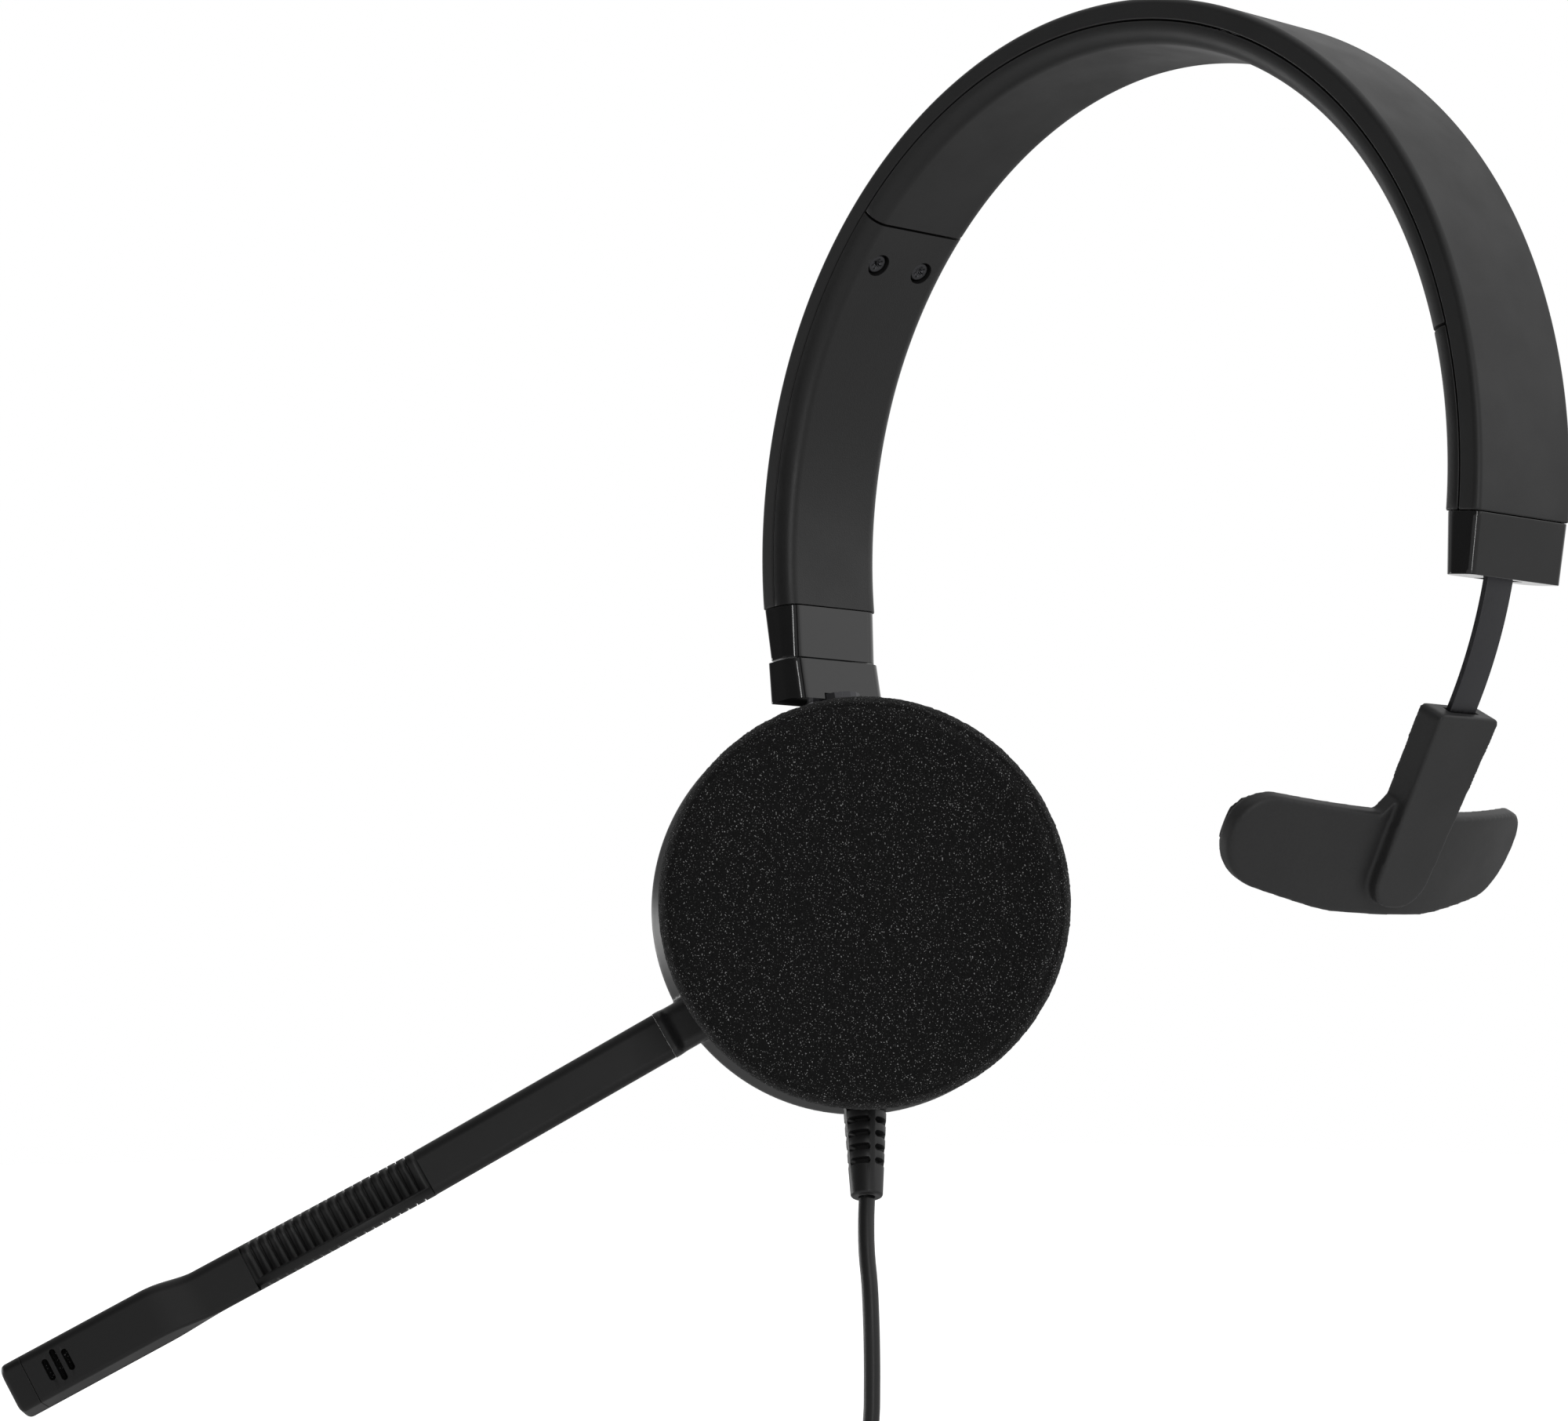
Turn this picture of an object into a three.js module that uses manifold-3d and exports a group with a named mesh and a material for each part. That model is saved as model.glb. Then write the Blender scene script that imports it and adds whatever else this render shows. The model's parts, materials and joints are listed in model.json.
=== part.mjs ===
// Corded office headset with one ear cup and a temple rest, in millimetres, +Z up.
// +X runs from the ear cup to the temple rest and -Y is the wearer's front.
// The origin is the middle of the headband's inner surface at the crown, where it sits on the head.
import * as THREE from 'three';
import { mergeVertices } from 'three/addons/utils/BufferGeometryUtils.js';
import Module from 'manifold-3d';

const GAP = 0.3; // clearance between neighbouring pieces

// Headband: a circular crown that opens into arms of a slightly larger radius.
const BAND_WIDTH = 18.4;
const BAND_THICKNESS = 6;
const CROWN_RADIUS = 63.6; // of the middle line
const CROWN_ANGLE = 70; // degrees from the top to where each arm begins
const ARM_RADIUS = 70;
const ARM_END = 109.5; // arc length from the crown to the end of each arm
const COLLAR_END = 117.3;
const COLLAR_TAPER = { across: 0.973, outward: 0.85 }; // size of its lower end as a share of the upper
const HALF_THICKNESS = BAND_THICKNESS / 2;
const CUP_SEAM = 48; // arc length where the crown liner meets each arm cover
const REST_SEAM = 86;
const OUTER_ROUND = 1.2;
const INNER_ROUND = 2.2;
const SPLIT_LOW = -0.1; // the outer cover and the liner part here, about the middle line
const SPLIT_HIGH = 0.2;
const CHANNEL_WIDTH = 12.6; // groove along the inside of the outer cover
const CHANNEL_HIGH = 1.1;
const SPRING_WIDTH = 12;
const SPRING_END = 76;
const CLAMP_SCREW = { at: 55, across: 4.2, headRadius: 1.5, headHeight: 0.9, shankRadius: 0.65, tip: 1.9 };

// Ear cup slider: a steel strip on the arm's own arc, with the yoke block below the collar.
const SLIDER = { width: 9, thickness: 1, top: 81, blockStart: 117.8, blockEnd: 123, blockTrim: 0.8, blockFlare: 1.3 };

// Temple rest: a springy steel strip, a tapered stem and a curved pad.
const REST_STRIP = { width: 4.9, thickness: 0.8, radius: 62, exitAngle: 103.5, hidden: 18, shown: 17 };
const REST_STEM = { length: 26.5, topHalf: 5.7, endHalf: 4.6, halfThickness: 1.9 };
const REST_PLATE = { halfLength: 27, top: 14.5, bottom: 28.4, radius: 82, face: 0.3, thickness: 2.2 };
const REST_PLATE_END = { bottom: 26, topRound: 5, bottomRound: 6.5, sweepStart: 10, sweepRound: 25 };
const REST_CUSHION = { inset: 1, thickness: 1.2 };

// Ear cup. Its own frame has x across, y up and z along the axis toward the ear.
const CUP_HEADING = 51; // degrees from the wearer's front toward the temple rest
const SWIVEL_LEAN = 15; // degrees, the swivel axis leans outward at the top
const PIVOT_DROP = 6.7; // from the yoke block's lower face to the tilt axis
const PIVOT_IN_CUP = new THREE.Vector3(-3.05, 24, 2);
const HOUSING = { radius: 27.5, wall: 1.8, front: 4.2, back: -9.3 };
const NECK = { radius: 20.5, wall: 1.6, end: -16.9 };
const RING = { radius: 31.1, frontRadius: 28.2, bore: 20.8, front: -10.4, back: -17 };
const FOAM = { radius: 29.8, back: 5.15, front: 13, round: 3.6 };
const STRAIN_RELIEF = { x: 0.5, y: -27.5, z: -2.6, lean: 20, length: 16.2, topRadius: 3.35, endRadius: 2.35 };

// Boom. Its own frame has x outward along the boom and z toward the ear.
const BOOM_ANGLE = 209.8; // degrees in the cup's frame
const BOOM_OFFSET = 2.27;
const BOOM_LEVEL = -13.7;
const BOOM = { halfWidth: 3.65, halfDepth: 2.8, round: 2, stubEnd: 34.8, gripStart: 76, gripEnd: 105 };
const GRIP_GROOVES = 19;
const GRIP_SET = { at: 78, angle: -1.4 }; // the slight bend left in the grip, in degrees
const MIC = { end: 141, tip: 144.7, halfWidth: 4.4, halfDepth: 3.4, shift: -0.4, port: 136.3, portAcross: -1 };

// Cord, hanging from the strain relief, with the spare length wound into a coil.
const CORD_RADIUS = 1.2;
const CORD_LEVEL = 6.6; // in the cup's frame, where the cord hangs plumb
const COIL = { x: 1.2, y: -107.2, meanRadius: 14, halfWidth: 7.2, halfDepth: 4.8 };
const PLUG = { x: -12.8, top: -138, gripLength: 24, shellLength: 12 };

const wasm = await Module();
wasm.setup();

// ---------- geometry helpers ----------

const radians = THREE.MathUtils.degToRad;

// A closed outline through corners [x, y, radius]; a corner with a radius becomes an arc.
function outline(corners, arcSteps = 3) {
  const points = [];
  corners.forEach(([x, y, radius = 0], index) => {
    const corner = new THREE.Vector2(x, y);
    if (radius === 0) {
      points.push(corner);
      return;
    }
    const before = new THREE.Vector2(...corners.at(index - 1)).sub(corner).normalize();
    const after = new THREE.Vector2(...corners[(index + 1) % corners.length]).sub(corner).normalize();
    const halfAngle = Math.acos(before.dot(after)) / 2;
    const inward = before.clone().add(after).normalize();
    const centre = corner.clone().addScaledVector(inward, radius / Math.sin(halfAngle));
    const start = before.clone().multiplyScalar(radius / Math.tan(halfAngle)).add(corner).sub(centre);
    const turn = Math.sign(after.cross(before)) * (Math.PI - 2 * halfAngle);
    for (let step = 0; step <= arcSteps; step++) {
      const spoke = start.clone().rotateAround(new THREE.Vector2(), turn * step / arcSteps);
      points.push(spoke.add(centre));
    }
  });
  return points;
}

const box2d = (halfX, lowY, highY, radius = 0) => [
  [-halfX, lowY, radius],
  [halfX, lowY, radius],
  [halfX, highY, radius],
  [-halfX, highY, radius],
];

// A body of revolution about the z axis. Corners are [radius, z, rounding]; a ring closes on itself.
function turned(corners, segments = 32, arcSteps = 2) {
  const points = outline(corners, arcSteps);
  const isRing = Math.min(...points.map((point) => point.x)) > 0;
  if (isRing) points.push(points[0].clone());
  return new THREE.LatheGeometry(points, segments).rotateX(Math.PI / 2);
}

// A flat plate with its outline in x and y, from z = low to z = high.
function plate(corners, low, high, arcSteps = 3) {
  const shape = new THREE.Shape(outline(corners, arcSteps));
  return new THREE.ExtrudeGeometry(shape, { depth: high - low, bevelEnabled: false }).translate(0, 0, low);
}

// A straight bar along x, with its section's outline in y and z.
const ALONG_X = new THREE.Matrix4().makeBasis(
  new THREE.Vector3(0, 1, 0),
  new THREE.Vector3(0, 0, 1),
  new THREE.Vector3(1, 0, 0),
);
const bar = (corners, start, end) => plate(corners, start, end).applyMatrix4(ALONG_X);

// A section [across, outward] swept along a curve in the XZ plane that runs toward +X over the crown.
function sweep(corners, curve, steps) {
  const flipped = corners.map(([across, outward, radius]) => [-across, -outward, radius]);
  const shape = new THREE.Shape(outline(flipped));
  return new THREE.ExtrudeGeometry(shape, { extrudePath: curve, steps });
}

const rod = (radius, start, end, segments = 20) =>
  new THREE.CylinderGeometry(radius, radius, end - start, segments)
    .translate(0, (start + end) / 2, 0)
    .rotateX(Math.PI / 2);

function toSolid(geometry) {
  const bare = new THREE.BufferGeometry().setAttribute('position', geometry.getAttribute('position'));
  bare.setIndex(geometry.getIndex());
  const merged = mergeVertices(bare, 1e-4);
  return new wasm.Manifold(new wasm.Mesh({
    numProp: 3,
    vertProperties: new Float32Array(merged.getAttribute('position').array),
    triVerts: new Uint32Array(merged.getIndex().array),
  }));
}

function toGeometry(solid) {
  const mesh = solid.getMesh();
  const geometry = new THREE.BufferGeometry();
  geometry.setAttribute('position', new THREE.BufferAttribute(mesh.vertProperties, 3));
  geometry.setIndex(new THREE.BufferAttribute(mesh.triVerts, 1));
  return geometry;
}

const join = (...parts) => toGeometry(parts.map(toSolid).reduce((sum, part) => sum.add(part)));
const cut = (body, ...tools) =>
  toGeometry(tools.map(toSolid).reduce((left, tool) => left.subtract(tool), toSolid(body)));
const common = (first, second) => toGeometry(toSolid(first).intersect(toSolid(second)));

// ---------- the headband's arc ----------

// Position on the band's middle line and its outward direction, at an arc length from the crown.
function archAt(length) {
  const side = Math.sign(length) || 1;
  const distance = Math.abs(length);
  const crownTurn = radians(CROWN_ANGLE);
  const crownLength = CROWN_RADIUS * crownTurn;
  const onCrown = distance <= crownLength;
  const turn = onCrown ? distance / CROWN_RADIUS : crownTurn + (distance - crownLength) / ARM_RADIUS;
  const growth = onCrown ? 0 : ARM_RADIUS - CROWN_RADIUS;
  const radius = CROWN_RADIUS + growth;
  const x = radius * Math.sin(turn) - growth * Math.sin(crownTurn);
  const z = radius * Math.cos(turn) - growth * Math.cos(crownTurn) - CROWN_RADIUS + HALF_THICKNESS;
  return {
    point: new THREE.Vector3(side * x, 0, z),
    outward: new THREE.Vector3(side * Math.sin(turn), 0, Math.cos(turn)),
    turn,
  };
}

class ArchCurve extends THREE.Curve {
  constructor(start, end) {
    super();
    this.start = start;
    this.end = end;
  }

  getPoint(share, target = new THREE.Vector3()) {
    return target.copy(archAt(THREE.MathUtils.lerp(this.start, this.end, share)).point);
  }
}

const alongArch = (corners, start, end, pitch = 4) =>
  sweep(corners, new ArchCurve(start, end), Math.ceil((end - start) / pitch));

// Half of the band's section: the outer cover lies above the split and the liners below it.
const outerSection = [
  [-BAND_WIDTH / 2, SPLIT_HIGH],
  [-CHANNEL_WIDTH / 2, SPLIT_HIGH],
  [-CHANNEL_WIDTH / 2, CHANNEL_HIGH],
  [CHANNEL_WIDTH / 2, CHANNEL_HIGH],
  [CHANNEL_WIDTH / 2, SPLIT_HIGH],
  [BAND_WIDTH / 2, SPLIT_HIGH],
  [BAND_WIDTH / 2, HALF_THICKNESS, OUTER_ROUND],
  [-BAND_WIDTH / 2, HALF_THICKNESS, OUTER_ROUND],
];
const linerSection = [
  [-BAND_WIDTH / 2, -HALF_THICKNESS, INNER_ROUND],
  [BAND_WIDTH / 2, -HALF_THICKNESS, INNER_ROUND],
  [BAND_WIDTH / 2, SPLIT_LOW],
  [-BAND_WIDTH / 2, SPLIT_LOW],
];
const armSection = (channelWidth, channelDepth) => [
  ...linerSection.slice(0, 3),
  [channelWidth / 2, SPLIT_LOW],
  [channelWidth / 2, channelDepth],
  [-channelWidth / 2, channelDepth],
  [-channelWidth / 2, SPLIT_LOW],
  linerSection[3],
];

// A cylinder across the band's thickness, at a place along and across it.
function boreThroughBand(length, across, radius, low, high) {
  const { point, outward } = archAt(length);
  const lean = new THREE.Quaternion().setFromUnitVectors(new THREE.Vector3(0, 0, 1), outward);
  const place = new THREE.Matrix4()
    .makeRotationFromQuaternion(lean)
    .setPosition(point.x, across, point.z);
  return rod(radius, low, high).applyMatrix4(place);
}

const CLAMP_SCREWS = [
  { name: 'cup_screw_front', across: -CLAMP_SCREW.across },
  { name: 'cup_screw_back', across: CLAMP_SCREW.across },
];

// ---------- materials ----------

const finish = (color, roughness, metalness = 0) =>
  () => new THREE.MeshStandardMaterial({ color, roughness, metalness });
const softTouch = finish(0x1c1c1d, 0.62);
const texturedPlastic = finish(0x1a1a1b, 0.55);
const glossPlastic = finish(0x0b0b0c, 0.12);
const satinPlastic = finish(0x2a2a2b, 0.42);
const rubber = finish(0x141415, 0.75);
const foam = finish(0x0c0c0c, 0.97);
const darkSteel = finish(0x2e2f31, 0.35, 0.9);
const steel = finish(0x9a9c9f, 0.35, 0.95);
const brass = finish(0xb08d3c, 0.35, 0.95);
const circuit = finish(0x123a22, 0.5);

function piece(name, geometry, material) {
  const mesh = new THREE.Mesh(geometry, material());
  mesh.name = name;
  return mesh;
}

// ---------- headband ----------

function headband() {
  const group = new THREE.Group();
  const screw = CLAMP_SCREW;
  const holes = (radius, low, high) =>
    CLAMP_SCREWS.map(({ across }) => boreThroughBand(-screw.at, across, radius, low, high));

  const pilotHoles = holes(screw.shankRadius + GAP, 0, screw.tip + GAP);
  const outerCover = cut(alongArch(outerSection, -ARM_END, ARM_END), ...pilotHoles);
  group.add(piece('outer_cover', outerCover, softTouch));

  const springSection = box2d(SPRING_WIDTH / 2, SPLIT_HIGH + 0.1, CHANNEL_HIGH - GAP);
  const springHoles = holes(screw.shankRadius + GAP, -1, 2);
  const springBand = cut(alongArch(springSection, -SPRING_END, SPRING_END), ...springHoles);
  group.add(piece('spring_band', springBand, steel));

  group.add(piece('crown_liner', alongArch(linerSection, -CUP_SEAM, REST_SEAM), softTouch));

  const cupChannel = armSection(SLIDER.width + 2 * GAP, -0.9);
  const cupCover = alongArch(cupChannel, -ARM_END, -CUP_SEAM - GAP);
  const headSeat = -HALF_THICKNESS + screw.headHeight + 0.4;
  const counterbores = holes(screw.headRadius + GAP, -HALF_THICKNESS - 1, headSeat + 0.1);
  const shankHoles = holes(screw.shankRadius + GAP, -HALF_THICKNESS, 1);
  group.add(piece('cup_arm_cover', cut(cupCover, ...counterbores, ...shankHoles), texturedPlastic));

  const restChannel = armSection(REST_STRIP.width + 2, -1.6);
  group.add(piece('rest_arm_cover', alongArch(restChannel, REST_SEAM + GAP, ARM_END), texturedPlastic));

  CLAMP_SCREWS.forEach(({ name, across }) => {
    const placed = (radius, low, high) => boreThroughBand(-screw.at, across, radius, low, high);
    const headTop = headSeat - screw.headHeight;
    const head = placed(screw.headRadius, headTop, headSeat);
    const socket = placed(screw.headRadius / 2, headTop - 1, headTop + 0.5);
    const shank = placed(screw.shankRadius, headSeat - 0.1, screw.tip);
    group.add(piece(name, cut(join(head, shank), socket), darkSteel));
  });

  group.add(piece('cup_collar', collar(-COLLAR_END, -ARM_END - GAP, SLIDER.width, 1.1), glossPlastic));
  group.add(piece('rest_collar', collar(ARM_END + GAP, COLLAR_END, REST_STRIP.width, 1.5), glossPlastic));

  // A leaf spring bears on each strip and gives the slider its clicks.
  const leaf = (width) => box2d(width / 2, CHANNEL_HIGH - GAP - 0.2, CHANNEL_HIGH - 0.1);
  group.add(piece('cup_detent_spring', alongArch(leaf(7), -104, -96), steel));
  group.add(piece('rest_detent_spring', alongArch(leaf(5), 98, 106), steel));
  return group;
}

// A straight block that carries the band's section on from a place on the arch, between two distances
// along its tangent; reshape moves the points of the far end.
function bandBlock(section, place, near, far, reshape) {
  const { point, outward } = archAt(place);
  const across = new THREE.Vector3(0, Math.sign(place), 0);
  const along = across.clone().cross(outward);
  const block = plate(section, near, far);
  const points = block.getAttribute('position');
  for (let index = 0; index < points.count; index++) {
    if (points.getZ(index) > (near + far) / 2) {
      const { x, y } = reshape({ x: points.getX(index), y: points.getY(index) });
      points.setXY(index, x, y);
    }
  }
  return block.applyMatrix4(new THREE.Matrix4().makeBasis(across, outward, along).setPosition(point));
}

// The glossy sleeve that closes an arm, with a slot for the strip.
function collar(start, end, stripWidth, halfSlot) {
  const inset = 0.1;
  const section = [
    [-BAND_WIDTH / 2 + inset, -HALF_THICKNESS + inset, INNER_ROUND],
    [BAND_WIDTH / 2 - inset, -HALF_THICKNESS + inset, INNER_ROUND],
    [BAND_WIDTH / 2 - inset, HALF_THICKNESS - inset, OUTER_ROUND],
    [-BAND_WIDTH / 2 + inset, HALF_THICKNESS - inset, OUTER_ROUND],
  ];
  const slot = box2d(stripWidth / 2 + 2 * GAP, -halfSlot, halfSlot);
  const margin = 1;
  const upper = Math.abs(start) < Math.abs(end) ? start : end;
  const sleeve = bandBlock(section, upper, 0, COLLAR_END - ARM_END - GAP, ({ x, y }) => ({
    x: x * COLLAR_TAPER.across,
    y: y * COLLAR_TAPER.outward,
  }));
  return cut(sleeve, alongArch(slot, start - margin, end + margin, 1.5));
}

// ---------- ear cup slider ----------

function slider() {
  const group = new THREE.Group();
  const stripSection = box2d(SLIDER.width / 2, -SLIDER.thickness / 2, SLIDER.thickness / 2);
  const stripEnd = SLIDER.blockStart + 1.9;
  group.add(piece('slider_strip', alongArch(stripSection, -stripEnd, -SLIDER.top), darkSteel));

  const inset = 0.1;
  const blockSection = [
    [-BAND_WIDTH / 2 + inset, -HALF_THICKNESS + inset, INNER_ROUND],
    [BAND_WIDTH / 2 - inset, -HALF_THICKNESS + inset, INNER_ROUND],
    [BAND_WIDTH / 2 - inset, HALF_THICKNESS - inset, 1.6],
    [-BAND_WIDTH / 2 + inset, HALF_THICKNESS - inset, 1.6],
  ];
  const pocket = alongArch(box2d(SLIDER.width / 2 + GAP, -0.8, 0.8), -stripEnd - GAP, -COLLAR_END, 1.5);
  const pinBore = rod(2, 6, 9).applyMatrix4(swivelFrame);
  const near = SLIDER.blockStart - ARM_END;
  const far = SLIDER.blockEnd - ARM_END - SLIDER.blockTrim;
  const flare = ({ x, y }) => ({ x, y: y < 0 ? y - SLIDER.blockFlare : y });
  const block = bandBlock(blockSection, -ARM_END, near, far, flare);
  group.add(piece('yoke_block', cut(block, pocket, pinBore), glossPlastic));
  return group;
}

// The swivel frame: z along the swivel axis, x along the tilt axis, origin where they cross.
const cupNormal = new THREE.Vector3(Math.sin(radians(CUP_HEADING)), -Math.cos(radians(CUP_HEADING)), 0);
const cupAcross = new THREE.Vector3(Math.cos(radians(CUP_HEADING)), Math.sin(radians(CUP_HEADING)), 0);
const swivelAxis = new THREE.Vector3(-Math.sin(radians(SWIVEL_LEAN)), 0, Math.cos(radians(SWIVEL_LEAN)));
const tiltAxis = new THREE.Vector3().crossVectors(swivelAxis, cupNormal).normalize();
const tiltPivot = archAt(-SLIDER.blockEnd).point.addScaledVector(swivelAxis, -PIVOT_DROP);
const swivelFrame = new THREE.Matrix4()
  .makeBasis(tiltAxis, new THREE.Vector3().crossVectors(swivelAxis, tiltAxis), swivelAxis)
  .setPosition(tiltPivot);

function swivelCarrier() {
  const pin = rod(1.7, 5, PIVOT_DROP + 2);
  const flange = rod(4, PIVOT_DROP - 1.2, PIVOT_DROP - GAP);
  const neck = rod(2.1, 0, PIVOT_DROP - 1);
  const barrel = rod(2, -4.7, 4.7).applyMatrix4(ALONG_X);
  const pinBore = rod(1.1, -6, 6).applyMatrix4(ALONG_X);
  const carrier = cut(join(pin, flange, neck, barrel), pinBore).applyMatrix4(swivelFrame);
  return piece('swivel_carrier', carrier, darkSteel);
}

// ---------- ear cup ----------

const cupFrame = new THREE.Matrix4().makeBasis(cupAcross, new THREE.Vector3(0, 0, 1), cupNormal);
const cupCentre = tiltPivot.clone().sub(PIVOT_IN_CUP.clone().applyMatrix4(cupFrame));
cupFrame.setPosition(cupCentre);

// The swivel frame's axes seen from the cup, for the lug that holds the tilt pin.
const lugFrame = cupFrame.clone().invert().multiply(
  new THREE.Matrix4()
    .makeBasis(tiltAxis, new THREE.Vector3().crossVectors(cupNormal, tiltAxis), cupNormal)
    .setPosition(tiltPivot),
);

function housing() {
  const { radius, wall, front, back } = HOUSING;
  const shell = turned([
    [NECK.radius, NECK.end],
    [NECK.radius, back],
    [radius, back, 1.2],
    [radius, front],
    [radius - wall, front],
    [radius - wall, back + wall],
    [NECK.radius - NECK.wall, back + wall],
    [NECK.radius - NECK.wall, NECK.end],
  ], 48);
  const lug = plate([[-8, -4.2], [8, -4.2], [6.5, 2.6], [-6.5, 2.6]], -5.6, 2).applyMatrix4(lugFrame);
  const slot = plate([[-5, -3.2], [5, -3.2], [5, 8], [-5, 8]], -4.6, 3).applyMatrix4(lugFrame);
  const pinHole = rod(1.1, -7.2, 7.2).applyMatrix4(ALONG_X).applyMatrix4(lugFrame);
  const cordHole = rod(2.7, -6, 5).applyMatrix4(reliefFrame);
  return piece('housing', cut(join(shell, lug), slot, pinHole, cordHole), satinPlastic);
}

function speaker() {
  const driver = turned([[0, -6], [8, -6], [8, -2], [14, -0.4], [14, 1], [11, 1], [9, -0.8], [0, -0.8]]);
  const cone = [[0, 1.3], [5, 0.6], [10.5, 1.6], [13.6, 1.4], [13.6, 1.8], [10.5, 2], [5, 1], [0, 1.8]];
  const baffle = turned([[0, 2.6], [19.8, 2.6], [19.8, 4.5], [28.6, 4.5], [28.6, 4.85], [0, 4.85]]);
  const soundHoles = [rod(2.4, 2, 6, 14)];
  for (let index = 0; index < 6; index++) {
    soundHoles.push(rod(2.4, 2, 6, 14).translate(8, 0, 0).rotateZ(index * Math.PI / 3));
  }
  return [
    piece('driver', driver, darkSteel),
    piece('driver_diaphragm', turned(cone), rubber),
    piece('baffle', cut(baffle, ...soundHoles), texturedPlastic),
  ];
}

// The strain relief's axis leans toward the ear as it goes down; its frame has z along the cord.
const reliefFrame = new THREE.Matrix4()
  .makeRotationX(Math.PI / 2 - radians(STRAIN_RELIEF.lean))
  .setPosition(STRAIN_RELIEF.x, STRAIN_RELIEF.y, STRAIN_RELIEF.z);

function strainRelief() {
  const { length, topRadius, endRadius } = STRAIN_RELIEF;
  const anchor = turned([[0, -4.6], [3.1, -4.6], [3.1, -3.7], [2.2, -3.7], [2.2, 2], [0, 2]], 24);
  const boot = turned([
    [0, -2],
    [topRadius, -2],
    [topRadius, 3],
    [endRadius, length, 0.5],
    [0, length],
  ], 24);
  const clearance = rod(HOUSING.radius + GAP, -12, 8, 96);
  const outside = cut(boot.applyMatrix4(reliefFrame), clearance);
  return piece('strain_relief', join(anchor.applyMatrix4(reliefFrame), outside), rubber);
}

function earCup() {
  const group = new THREE.Group();
  group.applyMatrix4(cupFrame);
  group.add(housing(), ...speaker(), strainRelief());

  const tiltPin = rod(0.8, -7, 7, 14).applyMatrix4(ALONG_X).applyMatrix4(lugFrame);
  group.add(piece('tilt_pin', tiltPin, steel));

  const cushion = turned([
    [0, FOAM.back],
    [FOAM.radius, FOAM.back, 0.8],
    [FOAM.radius, FOAM.front, FOAM.round],
    [0, FOAM.front],
  ], 48);
  group.add(piece('foam_cushion', cushion, foam));

  const board = new THREE.BoxGeometry(22, 14, 1.2).translate(0, 0, -12.5);
  group.add(piece('circuit_board', board, circuit));

  const frictionRing = turned([[21, -10.05], [26, -10.05], [26, -9.65], [21, -9.65]]);
  group.add(piece('friction_ring', frictionRing, steel));

  const cap = turned([[0, -19], [24, -19, 0.8], [24, -17.35], [18.5, -17.35], [18.5, -15], [0, -15]]);
  group.add(piece('outer_cap', cap, satinPlastic));
  return group;
}

// ---------- boom ----------

const BOOM_ORIGIN = new THREE.Vector3(0, BOOM_OFFSET, BOOM_LEVEL);
const boomFrame = cupFrame.clone()
  .multiply(new THREE.Matrix4().makeRotationZ(radians(BOOM_ANGLE)))
  .multiply(new THREE.Matrix4().makeTranslation(BOOM_ORIGIN));

const boomSection = box2d(BOOM.halfWidth, -BOOM.halfDepth, BOOM.halfDepth, BOOM.round);
const gripSet = new THREE.Matrix4().makeTranslation(GRIP_SET.at, 0, 0)
  .multiply(new THREE.Matrix4().makeRotationZ(radians(GRIP_SET.angle)))
  .multiply(new THREE.Matrix4().makeTranslation(-GRIP_SET.at, 0, 0));
const wireBore = (start, end) => rod(1.3, start, end, 12).applyMatrix4(ALONG_X);

// The ring that turns on the housing's neck, with a coned rim and the root of the boom.
function boomRing() {
  const ring = turned([
    [RING.bore, RING.back],
    [RING.radius, RING.back, 1],
    [RING.radius, RING.back + 1.4, 1],
    [RING.frontRadius, RING.front],
    [RING.bore, RING.front],
  ], 56).translate(0, -BOOM_OFFSET, -BOOM_LEVEL);
  const { stubEnd, halfWidth, halfDepth } = BOOM;
  const root = plate([
    [24, -halfWidth - 1],
    [30.6, -halfWidth - 1],
    [32, -halfWidth, 1.2],
    [stubEnd, -halfWidth],
    [stubEnd, halfWidth],
    [31.4, halfWidth, 1.2],
    [30, halfWidth + 1],
    [24, halfWidth + 1],
  ], -halfDepth, halfDepth);
  return cut(join(ring, root), wireBore(28, stubEnd + 1));
}

// The flexible stretch, grooved on both edges so that it bends.
function boomGrip() {
  const { gripStart, gripEnd, halfWidth, halfDepth } = BOOM;
  const depth = 0.5;
  const pitch = (gripEnd - gripStart - 1) / GRIP_GROOVES;
  const edge = [];
  for (let index = 0; index < GRIP_GROOVES; index++) {
    const start = gripStart + 1 + index * pitch;
    edge.push([start, -halfWidth], [start, depth - halfWidth]);
    edge.push([start + pitch / 2, depth - halfWidth], [start + pitch / 2, -halfWidth]);
  }
  const opposite = edge.map(([x, y]) => [x, -y]).reverse();
  const grooved = plate([
    [gripStart, -halfWidth],
    ...edge,
    [gripEnd, -halfWidth],
    [gripEnd, halfWidth],
    ...opposite,
    [gripStart, halfWidth],
  ], -halfDepth, halfDepth);
  return cut(grooved, wireBore(gripStart - 1, gripEnd + 1));
}

// The two halves of the microphone body, which steps sideways from the boom to the head.
function micShell(low, high) {
  const start = BOOM.gripEnd + GAP;
  const { end, halfWidth, shift } = MIC;
  const body = plate([
    [start, -BOOM.halfWidth],
    [start + 8, -BOOM.halfWidth, 12],
    [start + 15, shift - halfWidth, 12],
    [end, shift - halfWidth],
    [end, shift + halfWidth],
    [start + 15, shift + halfWidth, 20],
    [start + 6, BOOM.halfWidth, 20],
    [start, BOOM.halfWidth],
  ], low, high);
  const pocket = rod(3.2, -1.6, 2.1).translate(MIC.port, MIC.portAcross, 0);
  return cut(body, pocket, wireBore(start - 1, start + 8.5));
}

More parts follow.
